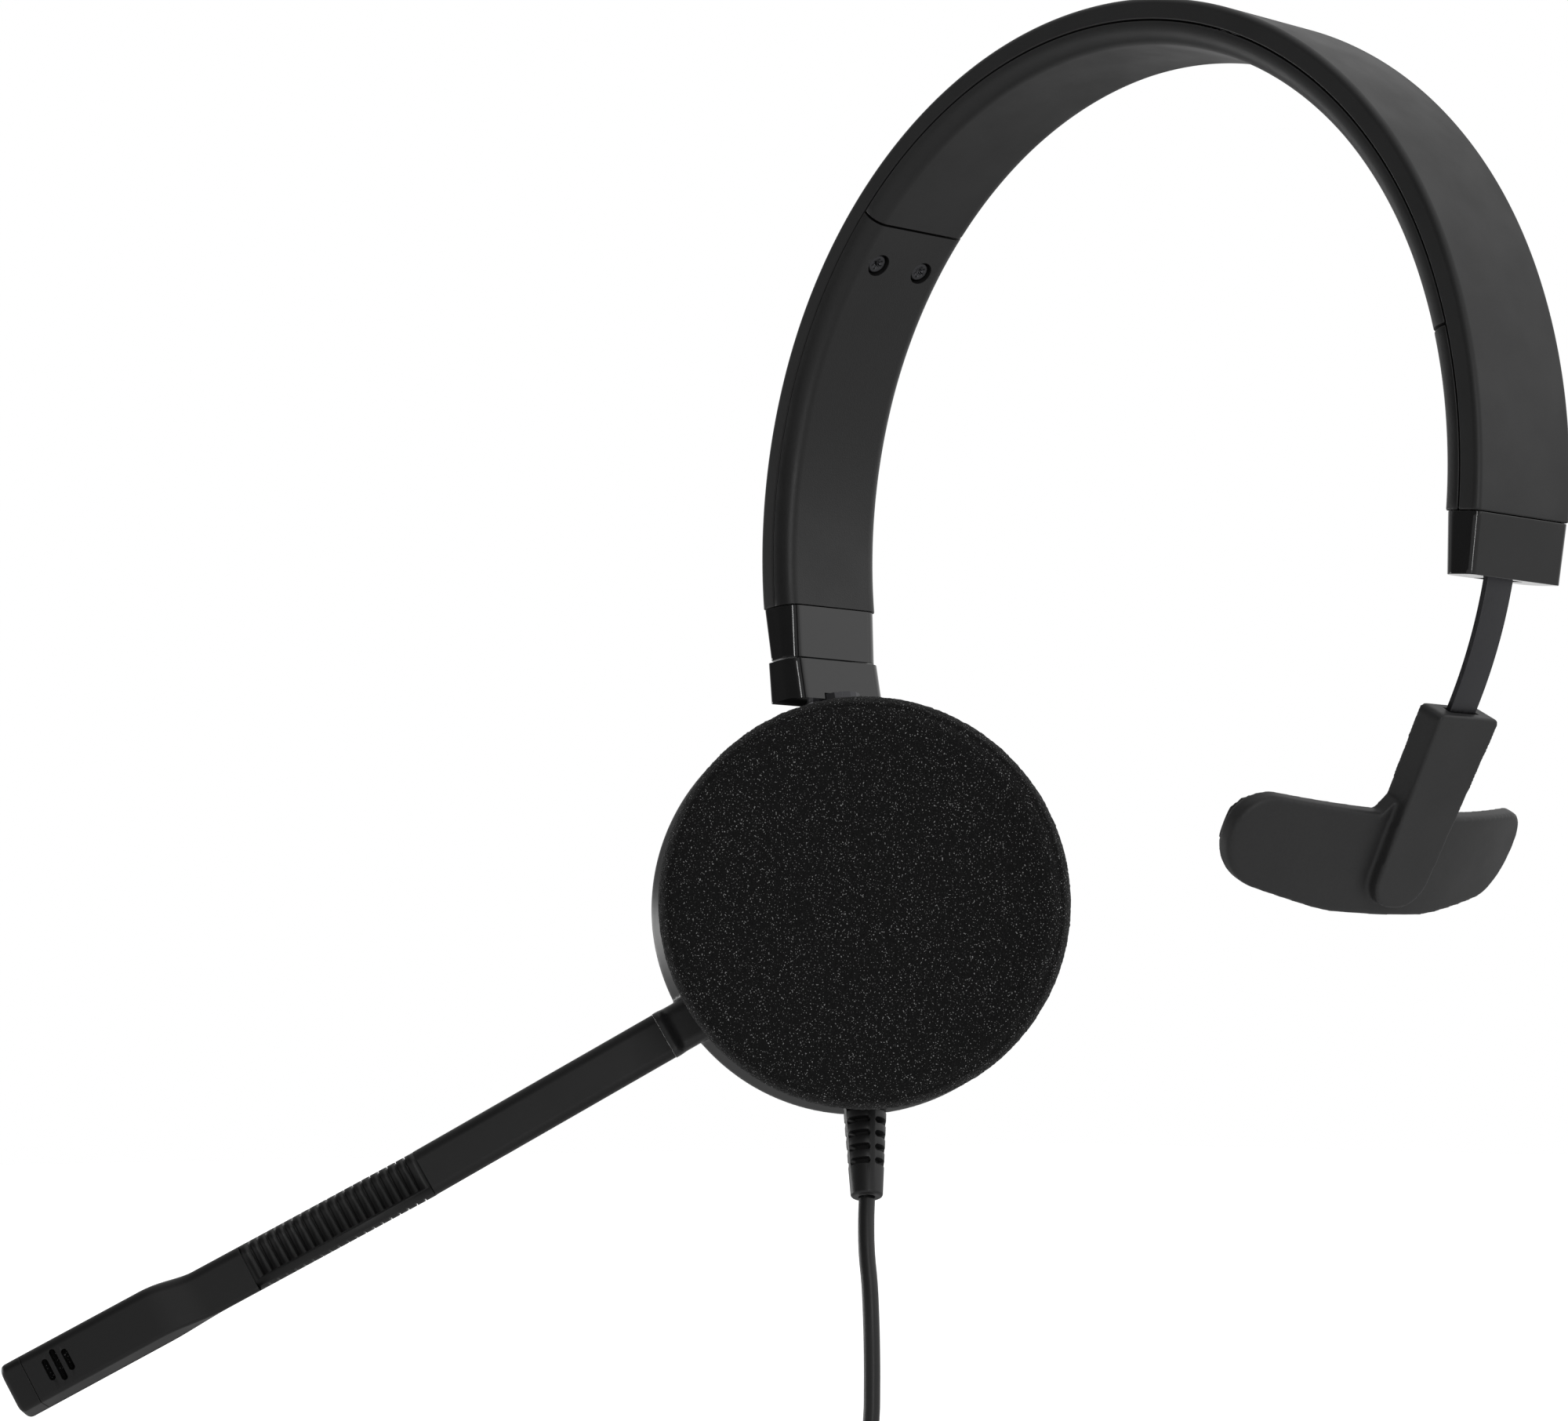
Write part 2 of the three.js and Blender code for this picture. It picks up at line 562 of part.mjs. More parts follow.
function micFront() {
  const slots = [-1, 0, 1].map((place) => {
    const halfLength = place === 0 ? 2.5 : 1.7;
    return plate([
      [-0.45, -halfLength, 0.4],
      [0.45, -halfLength, 0.4],
      [0.45, halfLength, 0.4],
      [-0.45, halfLength, 0.4],
    ], 1, MIC.halfDepth + 1, 2).translate(MIC.port + place * 1.6, MIC.portAcross, 0);
  });
  return cut(micShell(0.15, MIC.halfDepth), ...slots);
}

function boomPieces() {
  const group = new THREE.Group();
  group.applyMatrix4(boomFrame);
  const { stubEnd, gripStart, gripEnd } = BOOM;
  const arm = cut(bar(boomSection, stubEnd + GAP, gripStart - GAP), wireBore(stubEnd, gripStart));
  group.add(piece('boom_ring', boomRing(), satinPlastic));
  group.add(piece('boom_arm', arm, rubber));
  group.add(piece('boom_grip', boomGrip().applyMatrix4(gripSet), rubber));
  const straightWire = rod(1, 30, GRIP_SET.at, 12).applyMatrix4(ALONG_X);
  const setWire = rod(1, GRIP_SET.at - 0.1, gripEnd + 7, 12).applyMatrix4(ALONG_X).applyMatrix4(gripSet);
  group.add(piece('boom_wire', join(straightWire, setWire), steel));

  const portCentre = [MIC.port, MIC.portAcross, 0];
  const endCap = bar(box2d(MIC.halfWidth, -MIC.halfDepth, MIC.halfDepth, 0.8), MIC.end + GAP, MIC.tip);
  const microphone = [
    ['mic_shell_front', micFront(), rubber],
    ['mic_shell_back', micShell(-MIC.halfDepth, -0.15), rubber],
    ['mic_capsule', rod(2.8, -1.3, 1.1).translate(...portCentre), brass],
    ['mic_gasket', rod(2.8, 1.4, 1.8).translate(...portCentre), foam],
    ['mic_end_cap', endCap.translate(0, MIC.shift, 0), rubber],
  ];
  for (const [name, geometry, material] of microphone) {
    group.add(piece(name, geometry.applyMatrix4(gripSet), material));
  }
  return group;
}

// ---------- cord ----------

// Points in the cup's frame from the strain relief down to the coil, and from the coil to the plug.
const CORD_DROP = [
  [0.5, -43.1, 3.1],
  [0.35, -46, 4.1],
  [0.35, -50.5, 5.35],
  [0.7, -55, 6.2],
  [0.9, -60, CORD_LEVEL],
  [1, -65, CORD_LEVEL],
  [1, -70, CORD_LEVEL],
  [0.9, -74, CORD_LEVEL],
  [0.4, -78, CORD_LEVEL],
  [-1.6, -82, CORD_LEVEL],
  [-5.2, -84.8, CORD_LEVEL],
  [-9.3, -87, CORD_LEVEL],
  [-13.5, -89.9, CORD_LEVEL],
];
const CORD_TAIL = [
  [-12.8, -124.7, CORD_LEVEL],
  [-12.9, -129, CORD_LEVEL],
  [-12.9, -133, CORD_LEVEL],
  [-12.8, -137.7, CORD_LEVEL],
];

function cordTube(route, steps) {
  const points = route.map((place) => new THREE.Vector3(...place));
  const section = new THREE.Shape(new THREE.Path().absarc(0, 0, CORD_RADIUS, 0, 2 * Math.PI).getPoints(4));
  const curve = new THREE.CatmullRomCurve3(points);
  return new THREE.ExtrudeGeometry(section, { extrudePath: curve, steps });
}

function cord() {
  const group = new THREE.Group();
  group.applyMatrix4(cupFrame);
  const { x, y, meanRadius, halfWidth, halfDepth } = COIL;
  group.add(piece('cord_drop', cordTube(CORD_DROP, 14), rubber));
  const coil = turned([
    [meanRadius - halfWidth, -halfDepth, 1.2],
    [meanRadius + halfWidth, -halfDepth, 1.2],
    [meanRadius + halfWidth, halfDepth, 1.2],
    [meanRadius - halfWidth, halfDepth, 1.2],
  ], 32).translate(x, y, CORD_LEVEL);
  group.add(piece('cord_coil', coil, rubber));

  // A strap closes round the coil's bundle at its lowest point.
  const wall = 0.9;
  const clearance = 2 * GAP;
  const innerWidth = halfWidth + clearance;
  const innerDepth = halfDepth + clearance;
  const strap = cut(
    bar(box2d(innerWidth + wall, -innerDepth - wall, innerDepth + wall, 1.5), -2.5, 2.5),
    bar(box2d(innerWidth, -innerDepth, innerDepth, 1), -4, 4),
  ).translate(x, y - meanRadius, CORD_LEVEL);
  group.add(piece('cord_tie', strap, rubber));
  group.add(piece('cord_tail', cordTube(CORD_TAIL, 3), rubber));

  // The plug hangs below the coil: a moulded grip, a metal shell and its contact tongue.
  const place = (geometry) => geometry.rotateX(-Math.PI / 2).translate(PLUG.x, PLUG.top, CORD_LEVEL);
  const shellStart = -PLUG.gripLength - GAP;
  const shellEnd = shellStart - PLUG.shellLength;
  const grip = plate(box2d(7.5, -3.9, 3.9, 2), -PLUG.gripLength, 0);
  const shell = cut(
    plate(box2d(6, -2.25, 2.25), shellEnd, shellStart),
    plate(box2d(5.7, -1.95, 1.95), shellEnd - 1, shellStart - 1),
  );
  const tongue = plate(box2d(5.3, -0.1, 1.6), shellEnd + 0.5, shellStart - 1 - GAP);
  group.add(piece('plug_grip', place(grip), rubber));
  group.add(piece('plug_shell', place(shell), steel));
  group.add(piece('plug_tongue', place(tongue), satinPlastic));
  return group;
}

// ---------- temple rest ----------

class ArcCurve extends THREE.Curve {
  constructor(centre, radius, start, end) {
    super();
    Object.assign(this, { centre, radius, start, end });
  }

  // Angles are in degrees from straight up toward +X.
  getPoint(share, target = new THREE.Vector3()) {
    const angle = radians(THREE.MathUtils.lerp(this.start, this.end, share));
    return target.set(Math.sin(angle), 0, Math.cos(angle)).multiplyScalar(this.radius).add(this.centre);
  }
}

function restFrameAt(angle) {
  const outward = new THREE.Vector3(Math.sin(radians(angle)), 0, Math.cos(radians(angle)));
  const along = new THREE.Vector3(outward.z, 0, -outward.x);
  const place = outward.clone().multiplyScalar(REST_STRIP.radius).add(restCentre);
  return new THREE.Matrix4().makeBasis(along, new THREE.Vector3(0, 1, 0), outward).setPosition(place);
}

const restExit = radians(REST_STRIP.exitAngle);
const restCentre = archAt(COLLAR_END).point
  .sub(new THREE.Vector3(Math.sin(restExit), 0, Math.cos(restExit)).multiplyScalar(REST_STRIP.radius));
const restTurn = (length) => THREE.MathUtils.radToDeg(length / REST_STRIP.radius);

// A plate bent about an axis along its height, hollow side toward the head, with round corners.
function bentPlate(face, thickness, inset) {
  const { halfLength, top, bottom, radius } = REST_PLATE;
  const arc = new THREE.Shape();
  const halfAngle = Math.asin((halfLength + 1) / radius);
  const middle = Math.PI / 2;
  arc.absarc(0, face - radius, radius, middle - halfAngle, middle + halfAngle, false);
  arc.absarc(0, face - radius, radius - thickness, middle + halfAngle, middle - halfAngle, true);
  const bent = new THREE.ExtrudeGeometry(arc, { depth: bottom - top, bevelEnabled: false, curveSegments: 20 })
    .translate(0, 0, top)
    .applyMatrix4(ALONG_X);
  const { topRound, bottomRound, sweepStart, sweepRound } = REST_PLATE_END;
  const half = halfLength - inset;
  const lowEnd = REST_PLATE_END.bottom - inset;
  const frame = plate([
    [top + inset, -half, topRound - inset],
    [lowEnd, -half, bottomRound - inset],
    [bottom - inset, -sweepStart, sweepRound],
    [bottom - inset, sweepStart, sweepRound],
    [lowEnd, half, bottomRound - inset],
    [top + inset, half, topRound - inset],
  ], -30, 10, 5);
  return common(bent, frame);
}

function templeRest() {
  const group = new THREE.Group();
  const { width, thickness, radius, exitAngle, hidden, shown } = REST_STRIP;
  const socketDepth = 3;
  const arc = new ArcCurve(
    restCentre,
    radius,
    exitAngle - restTurn(hidden),
    exitAngle + restTurn(shown + socketDepth),
  );
  const strip = sweep(box2d(width / 2, -thickness / 2, thickness / 2), arc, 10);
  group.add(piece('rest_strip', strip, darkSteel));

  const { length, topHalf, endHalf, halfThickness } = REST_STEM;
  const stem = plate([
    [0, -topHalf, 0.8],
    [length, -endHalf, 4],
    [length, endHalf, 4],
    [0, topHalf, 0.8],
  ], -halfThickness, halfThickness);
  const headSide = plate([[REST_PLATE.top - 2, -9], [40, -9], [40, 9], [REST_PLATE.top - 2, 9]], -10, -0.6);
  const socket = plate([
    [-1, -width / 2 - GAP],
    [socketDepth + GAP, -width / 2 - GAP],
    [socketDepth + GAP, width / 2 + GAP],
    [-1, width / 2 + GAP],
  ], -0.9, 0.9);
  const backing = bentPlate(REST_PLATE.face, REST_PLATE.thickness, 0);
  const moulding = cut(join(cut(stem, headSide), backing), socket);
  const cushionFace = REST_PLATE.face - REST_PLATE.thickness - GAP;
  const cushion = bentPlate(cushionFace, REST_CUSHION.thickness, REST_CUSHION.inset);
  const placed = restFrameAt(exitAngle + restTurn(shown));
  group.add(piece('rest_stem', moulding.applyMatrix4(placed), satinPlastic));
  group.add(piece('rest_cushion', cushion.applyMatrix4(placed), rubber));
  return group;
}

const headset = new THREE.Group();
headset.add(headband(), slider(), swivelCarrier(), earCup(), boomPieces(), cord(), templeRest());

export default headset;
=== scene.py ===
"""An office headset: detailed pieces, materials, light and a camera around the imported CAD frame.

Shapes are worked out in millimetres and placed in metres, in the CAD model's own frame.
"""

import json
import math

import bmesh
import bpy
from mathutils import Matrix, Vector, noise


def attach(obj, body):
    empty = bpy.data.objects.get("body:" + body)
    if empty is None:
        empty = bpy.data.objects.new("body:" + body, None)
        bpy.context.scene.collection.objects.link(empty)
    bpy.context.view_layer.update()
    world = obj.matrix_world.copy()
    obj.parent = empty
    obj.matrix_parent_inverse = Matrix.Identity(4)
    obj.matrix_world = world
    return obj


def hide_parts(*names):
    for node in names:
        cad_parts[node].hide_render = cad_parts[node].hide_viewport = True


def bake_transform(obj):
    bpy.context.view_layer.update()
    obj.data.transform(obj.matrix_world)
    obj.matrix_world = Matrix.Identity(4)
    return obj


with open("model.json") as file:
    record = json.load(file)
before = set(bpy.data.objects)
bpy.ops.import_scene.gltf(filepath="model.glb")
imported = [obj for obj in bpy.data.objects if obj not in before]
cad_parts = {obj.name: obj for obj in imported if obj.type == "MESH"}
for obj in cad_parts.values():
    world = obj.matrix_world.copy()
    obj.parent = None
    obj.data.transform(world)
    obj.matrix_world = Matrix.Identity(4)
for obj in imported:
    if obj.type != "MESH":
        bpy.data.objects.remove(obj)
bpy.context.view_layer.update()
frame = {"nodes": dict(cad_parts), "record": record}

MM = 0.001
GAP = 0.3  # between neighbouring CAD pieces, in mm
SEAM = 0.1  # half of a seam that shows, in mm

# Headband, in mm: a circular crown that opens into arms of a slightly larger radius.
BAND_HALF_WIDTH = 9.2
HALF_THICKNESS = 3.0
CROWN_RADIUS = 63.6
CROWN_ANGLE = 70
ARM_RADIUS = 70
ARM_END = 109.5
COLLAR_END = 117.3
BLOCK_START = 117.6
BLOCK_END = 123.6
BLOCK_FLARE = 0.6
SHELL_STEP = 0.1  # how far the glossy pieces stand back from the arm's faces
ARCH_STEP = 1.0  # along the headband, between two sections
CUP_SEAM = 48
REST_SEAM = 86
SCREW_AT = 55
SCREW_ACROSS = 4.2

# Ear cup, in mm along its axis toward the ear.
FOAM_FACE = 13.0
FOAM_BACK = 5.15
FOAM_RADIUS = 30.05
FOAM_CROWN = 0.35
HOUSING_RADIUS = 27.5
RING_RADIUS = 31.1
RING_FRONT = -10.4
RING_BACK = -17.0
RELIEF_PLACE = (0.5, -27.5, -2.6)
RELIEF_LEAN = 20
RELIEF_LENGTH = 16.2

# Boom, in mm along it from the cup's axis.
BOOM_ANGLE = 209.8
BOOM_OFFSET = 2.27
BOOM_LEVEL = -13.7
BOOM_HALF_WIDTH = 3.65
BOOM_HALF_DEPTH = 2.8
STUB_END = 34.8
GRIP_START = 76.0
GRIP_END = 105.0
GRIP_GROOVES = 19
GROOVE_WIDTH = 0.38
GRIP_SET_AT = 78
GRIP_SET = -1.4  # degrees, the slight bend left in the grip
MIC_SEAM = 141.0
MIC_TIP = 144.7
MIC_PORT = 136.3
MIC_PORT_ACROSS = -1.0
MIC_SHIFT = -0.4
MIC_HALF_WIDTH = 4.4
MIC_HALF_DEPTH = 3.4

# Temple rest, in mm: a strip on an arc of its own, a stem and a bent plate.
STRIP_RADIUS = 62
STRIP_EXIT = 103.5  # degrees from straight up
STRIP_SHOWN = 17
STRIP_HIDDEN = 18
PLATE_BEND = 82
PLATE_FACE = 0.3
PLATE_THICKNESS = 2.2
PLATE_HALF_LENGTH = 27
PLATE_TOP = 14.5
PLATE_BOTTOM = 28.4
PLATE_END_BOTTOM = 26

# Cord, in metres in the cup's frame: the route that the CAD solids follow.
CORD_DIAMETER = 0.0024
CORD_LEVEL = 0.0066
CORD_DROP = [
    (0.0005, -0.0431, 0.0031),
    (0.00035, -0.046, 0.0041),
    (0.00035, -0.0505, 0.00535),
    (0.0007, -0.055, 0.0062),
    (0.0009, -0.060, CORD_LEVEL),
    (0.001, -0.065, CORD_LEVEL),
    (0.001, -0.070, CORD_LEVEL),
    (0.0009, -0.074, CORD_LEVEL),
    (0.0004, -0.078, CORD_LEVEL),
    (-0.0016, -0.082, CORD_LEVEL),
    (-0.0052, -0.0848, CORD_LEVEL),
    (-0.0093, -0.087, CORD_LEVEL),
]
CORD_TAIL = [
    (-0.0128, -0.1247, CORD_LEVEL),
    (-0.0129, -0.129, CORD_LEVEL),
    (-0.0129, -0.133, CORD_LEVEL),
    (-0.0128, -0.1379, CORD_LEVEL),
]
COIL_CENTRE = (0.0012, -0.1072)
COIL_LAYERS = 6
COIL_SLICES = 4
COIL_OUTER = 0.020
COIL_POINTS = 16  # per turn
COIL_START = 130  # degrees
COIL_CROSSING = 0.3  # the last share of each turn, which shifts to the next turn's place
COIL_EXIT = (130, 152, 174, 192)  # degrees, on the last turn

# Plug, in mm.
PLUG_PLACE = (-12.8, -138)
PLUG_HALF = (7.5, 3.9)
PLUG_ROUND = 2.0
PLUG_STATIONS = ((0, 0.62), (-0.8, 0.78), (-3.5, 0.86), (-7, 1), (-23.4, 1), (-24, 0.95))
SOCKET_HALF = (6, 2.25)
SOCKET_WALL = 0.3
SOCKET_START = -24.3
SOCKET_END = -36.3

# Camera and light, in degrees and metres.
CAMERA_AZIMUTH = 49.2
CAMERA_ELEVATION = -5.4
CAMERA_PLACE = (0.3455, -0.3605, -0.1365)
CAMERA_LENS = 84.6
STUDIO_BRIGHT_SIDE = (0, 0.95, 0.3)
STUDIO_DIM = 0.1
STUDIO_BRIGHT = 0.78
FLOOR_REACH = 6.0
FLOOR_LEVEL = -0.34
LIGHT_TARGET = (-0.03, -0.01, -0.09)
SOFTBOXES = (  # name, azimuth, elevation, distance, size, power in watts
    ("side_right", 130, 25, 1.4, (0.9, 1.2), 1.0),
    ("top", 70, 75, 1.3, (1.4, 1.4), 1.5),
    ("strip", 66, 5, 1.2, (0.07, 1.0), 2.6),
    ("rim", -76, -18, 1.3, (0.7, 0.9), 7.0),
)


# ---------- frames ----------


def basis(x, y, z, origin):
    """A placing matrix from three directions and an origin in mm."""
    rows = [[x[row], y[row], z[row], origin[row]] for row in range(3)]
    return Matrix(rows + [[0, 0, 0, 1]])


def mount(name):
    return next(item for item in frame["record"]["mounts"] if item["name"] == name)


def joint(name):
    joints = frame["record"]["behaviour"]["joints"]
    return next(item for item in joints if item["name"] == name)


UP = Vector((0, 0, 1))
WORLD = Matrix.Identity(4)
ear = mount("ear_cushion_face")
cup_normal = Vector(ear["axis"])
cup_centre = Vector(ear["pos_m"]) / MM - cup_normal * FOAM_FACE
CUP = basis(UP.cross(cup_normal), UP, cup_normal, cup_centre)
BOOM = (
    CUP
    @ Matrix.Rotation(math.radians(BOOM_ANGLE), 4, "Z")
    @ Matrix.Translation((0, BOOM_OFFSET, BOOM_LEVEL))
)
SET_BOOM = (
    BOOM
    @ Matrix.Translation((GRIP_SET_AT, 0, 0))
    @ Matrix.Rotation(math.radians(GRIP_SET), 4, "Z")
    @ Matrix.Translation((-GRIP_SET_AT, 0, 0))
)
RELIEF = (
    CUP
    @ Matrix.Translation(RELIEF_PLACE)
    @ Matrix.Rotation(math.radians(90 - RELIEF_LEAN), 4, "X")
)
STRIP_CENTRE = Vector(joint("rest_slide")["pos_m"]) / MM


def strip_place(angle):
    """Position and outward direction on the temple rest's strip, at degrees from straight up."""
    outward = Vector((math.sin(math.radians(angle)), 0, math.cos(math.radians(angle))))
    return STRIP_CENTRE + outward * STRIP_RADIUS, outward


stem_start, stem_outward = strip_place(STRIP_EXIT + math.degrees(STRIP_SHOWN / STRIP_RADIUS))
STEM = basis(Vector((0, 1, 0)).cross(stem_outward), (0, 1, 0), stem_outward, stem_start)


def arch(length):
    """Position and outward direction on the headband's middle line, at mm of arc from the crown."""
    side = math.copysign(1, length)
    distance = abs(length)
    crown_turn = math.radians(CROWN_ANGLE)
    crown_length = CROWN_RADIUS * crown_turn
    on_crown = distance <= crown_length
    turn = distance / CROWN_RADIUS if on_crown else crown_turn + (distance - crown_length) / ARM_RADIUS
    growth = 0 if on_crown else ARM_RADIUS - CROWN_RADIUS
    radius = CROWN_RADIUS + growth
    x = radius * math.sin(turn) - growth * math.sin(crown_turn)
    z = radius * math.cos(turn) - growth * math.cos(crown_turn) - CROWN_RADIUS + HALF_THICKNESS
    return Vector((side * x, 0, z)), Vector((side * math.sin(turn), 0, math.cos(turn)))


# ---------- camera and cord ----------


def view_direction(azimuth, elevation):
    """From the object toward a viewer or a light, both angles in degrees."""
    turn, rise = math.radians(azimuth), math.radians(elevation)
    return Vector((math.sin(turn) * math.cos(rise), -math.cos(turn) * math.cos(rise), math.sin(rise)))


def make_camera():
    azimuth = math.radians(CAMERA_AZIMUTH)
    back = view_direction(CAMERA_AZIMUTH, CAMERA_ELEVATION)
    right = Vector((math.cos(azimuth), math.sin(azimuth), 0))
    data = bpy.data.cameras.new("camera")
    data.lens = CAMERA_LENS
    data.sensor_width = 36
    data.clip_start = 0.01
    camera = bpy.data.objects.new("camera", data)
    bpy.context.scene.collection.objects.link(camera)
    camera.matrix_world = basis(right, back.cross(right), back, CAMERA_PLACE)
    bpy.context.scene.camera = camera


def ease(value):
    """A smooth step from 0 to 1."""
    value = min(1.0, max(0.0, value))
    return value * value * (3 - 2 * value)


def cord_route():
    """The cord's centreline in the cup's frame, in metres: drop, coil, tail."""
    points = [Vector(point) for point in CORD_DROP]
    lowest = CORD_LEVEL - CORD_DIAMETER * (COIL_SLICES - 1) / 2
    levels = [lowest + CORD_DIAMETER * index for index in range(COIL_SLICES)]
    radii = [COIL_OUTER - CORD_DIAMETER * index for index in range(COIL_LAYERS)]
    turns = []
    for index, level in enumerate(levels):
        inward = radii if index % 2 == 0 else reversed(radii)
        turns += [(radius, level) for radius in inward]
    start = math.radians(COIL_START)
    for index, (radius, level) in enumerate(turns):
        next_radius, next_level = turns[min(index + 1, len(turns) - 1)]
        for step in range(COIL_POINTS):
            share = step / COIL_POINTS
            shift = ease((share - 1 + COIL_CROSSING) / COIL_CROSSING)
            reach = radius + (next_radius - radius) * shift
            angle = start + 2 * math.pi * share
            points.append(Vector((
                COIL_CENTRE[0] + reach * math.cos(angle),
                COIL_CENTRE[1] + reach * math.sin(angle),
                level + (next_level - level) * shift,
            )))
    last_level = turns[-1][1]
    for degrees in COIL_EXIT:
        angle = math.radians(degrees)
        points.append(Vector((
            COIL_CENTRE[0] + COIL_OUTER * math.cos(angle),
            COIL_CENTRE[1] + COIL_OUTER * math.sin(angle),
            last_level,
        )))
    points += [Vector(point) for point in CORD_TAIL]
    return points


def make_cord(material):
    curve = bpy.data.curves.new("cord", "CURVE")
    curve.dimensions = "3D"
    curve.resolution_u = 3
    curve.bevel_depth = CORD_DIAMETER / 2
    curve.bevel_resolution = 3
    curve.use_fill_caps = True
    metres = Matrix.Translation(CUP.translation * MM) @ CUP.to_3x3().to_4x4()
    route = [metres @ point for point in cord_route()]
    spline = curve.splines.new("BEZIER")
    spline.bezier_points.add(len(route) - 1)
    for knot, point in zip(spline.bezier_points, route):
        knot.co = point
        knot.handle_left_type = "AUTO"
        knot.handle_right_type = "AUTO"
    cord = bpy.data.objects.new("cord", curve)
    bpy.context.scene.collection.objects.link(cord)
    cord.data.materials.append(material)
    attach(cord, "cup")
    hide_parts("cord_drop", "cord_coil", "cord_tail")
    return cord, tuple(route[0])


# ---------- mesh helpers ----------


def outline(corners, steps=6):
    """A closed outline through corners (x, y, radius); a corner with a radius becomes an arc."""
    points = []
    for index, corner in enumerate(corners):
        here = Vector(corner[:2])
        radius = corner[2] if len(corner) > 2 else 0
        if not radius:
            points.append(here)
            continue
        before = (Vector(corners[index - 1][:2]) - here).normalized()
        after = (Vector(corners[(index + 1) % len(corners)][:2]) - here).normalized()
        half = before.angle(after) / 2
        centre = here + (before + after).normalized() * (radius / math.sin(half))
        spoke = here + before * (radius / math.tan(half)) - centre
        turn = math.copysign(math.pi - 2 * half, after.cross(before))
        for step in range(steps + 1):
            points.append(centre + Matrix.Rotation(turn * step / steps, 2) @ spoke)
    return points


def box2d(half_x, low_y, high_y, radius=0):
    return [
        (-half_x, low_y, radius),
        (half_x, low_y, radius),
        (half_x, high_y, radius),
        (-half_x, high_y, radius),
    ]


def loft(rings, closed=False):
    """Points and faces of a skin over rings of equally many points; closed joins the last to the first."""
    count = len(rings[0])
    points = [point for ring in rings for point in ring]
    faces = []
    for index in range(len(rings) if closed else len(rings) - 1):
        low, high = index * count, (index + 1) % len(rings) * count
        for step in range(count):
            turn = (step + 1) % count
            faces.append((low + step, low + turn, high + turn, high + step))
    if not closed:
        faces.append(tuple(range(count)))
        faces.append(tuple(range(len(points) - count, len(points))))
    return points, faces


def turned(corners, segments=128, steps=5):
    """A body of revolution about z from an outline of (radius, z, rounding)."""
    profile = outline(corners, steps)
    rings = []
    for index in range(segments):
        angle = 2 * math.pi * index / segments
        rings.append([Vector((p.x * math.cos(angle), p.x * math.sin(angle), p.y)) for p in profile])
    return loft(rings, closed=True)


def plate(corners, low, high, steps=6):
    """A flat plate with its outline in x and y, between two levels."""
    flat = outline(corners, steps)
    return loft([[Vector((p.x, p.y, z)) for p in flat] for z in (low, high)])


def along_arch(corners, start, end):
    """A section (across, outward) swept along the headband."""
    section = outline(corners)
    count = max(2, math.ceil(abs(end - start) / ARCH_STEP))
    rings = []
    for index in range(count + 1):
        share = index / count
        place, outward = arch(start + (end - start) * share)
        rings.append([place + Vector((0, p.x, 0)) + outward * p.y for p in section])
    return loft(rings)


def along_x(stations):
    """A skin over sections at stations (x, [(y, z), ...])."""
    return loft([[Vector((x, y, z)) for y, z in section] for x, section in stations])


def make(name, shape, material, body, place=WORLD, bevel=0.0, replaces=()):
    """A smooth-shaded piece from points and faces in mm, its sharp edges rounded by bevel mm."""
    points, faces = shape
    mesh = bpy.data.meshes.new(name)
    mesh.from_pydata([(place @ Vector(point)) * MM for point in points], [], faces)
    work = bmesh.new()
    work.from_mesh(mesh)
    bmesh.ops.remove_doubles(work, verts=work.verts, dist=0.001 * MM)
    bmesh.ops.dissolve_degenerate(work, edges=work.edges, dist=0.001 * MM)
    bmesh.ops.recalc_face_normals(work, faces=work.faces)
    for face in work.faces:
        face.smooth = True
    work.to_mesh(mesh)
    work.free()
    piece = bpy.data.objects.new(name, mesh)
    bpy.context.scene.collection.objects.link(piece)
    mesh.materials.append(material)
    if bevel:
        round_edges(piece, bevel)
    if body:
        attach(piece, body)
    if replaces:
        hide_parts(*replaces)
    return piece


def round_edges(piece, width, segments=3):
    """Rounds a piece's sharp edges by width mm."""
    rounding = piece.modifiers.new("rounding", "BEVEL")
    rounding.width = width * MM
    rounding.segments = segments
    rounding.limit_method = "ANGLE"
    rounding.angle_limit = math.radians(35)
    weighting = piece.modifiers.new("weighting", "WEIGHTED_NORMAL")
    weighting.keep_sharp = True


def bake(piece):
    """Applies a piece's modifiers to its mesh."""
    graph = bpy.context.evaluated_depsgraph_get()
    mesh = bpy.data.meshes.new_from_object(piece.evaluated_get(graph))
    piece.modifiers.clear()
    piece.data = mesh
    for polygon in mesh.polygons:
        polygon.use_smooth = True


def loose(shape, place=WORLD):
    """A temporary object in the scene from points and faces in mm."""
    points, faces = shape
    mesh = bpy.data.meshes.new("tool")
    mesh.from_pydata([(place @ Vector(point)) * MM for point in points], [], faces)
    work = bmesh.new()
    work.from_mesh(mesh)
    bmesh.ops.remove_doubles(work, verts=work.verts, dist=0.001 * MM)
    bmesh.ops.recalc_face_normals(work, faces=work.faces)
    work.to_mesh(mesh)
    work.free()
    tool = bpy.data.objects.new("tool", mesh)
    bpy.context.scene.collection.objects.link(tool)
    return tool


def combine(piece, shapes, operation, place=WORLD):
    """Cuts shapes out of a piece, or joins them to it."""
    tools = [loose(shape, place) for shape in shapes]
    for tool in tools:
        step = piece.modifiers.new("boolean", "BOOLEAN")
        step.operation = operation
        step.solver = "EXACT"
        step.object = tool
    bake(piece)
    for tool in tools:
        bpy.data.objects.remove(tool)


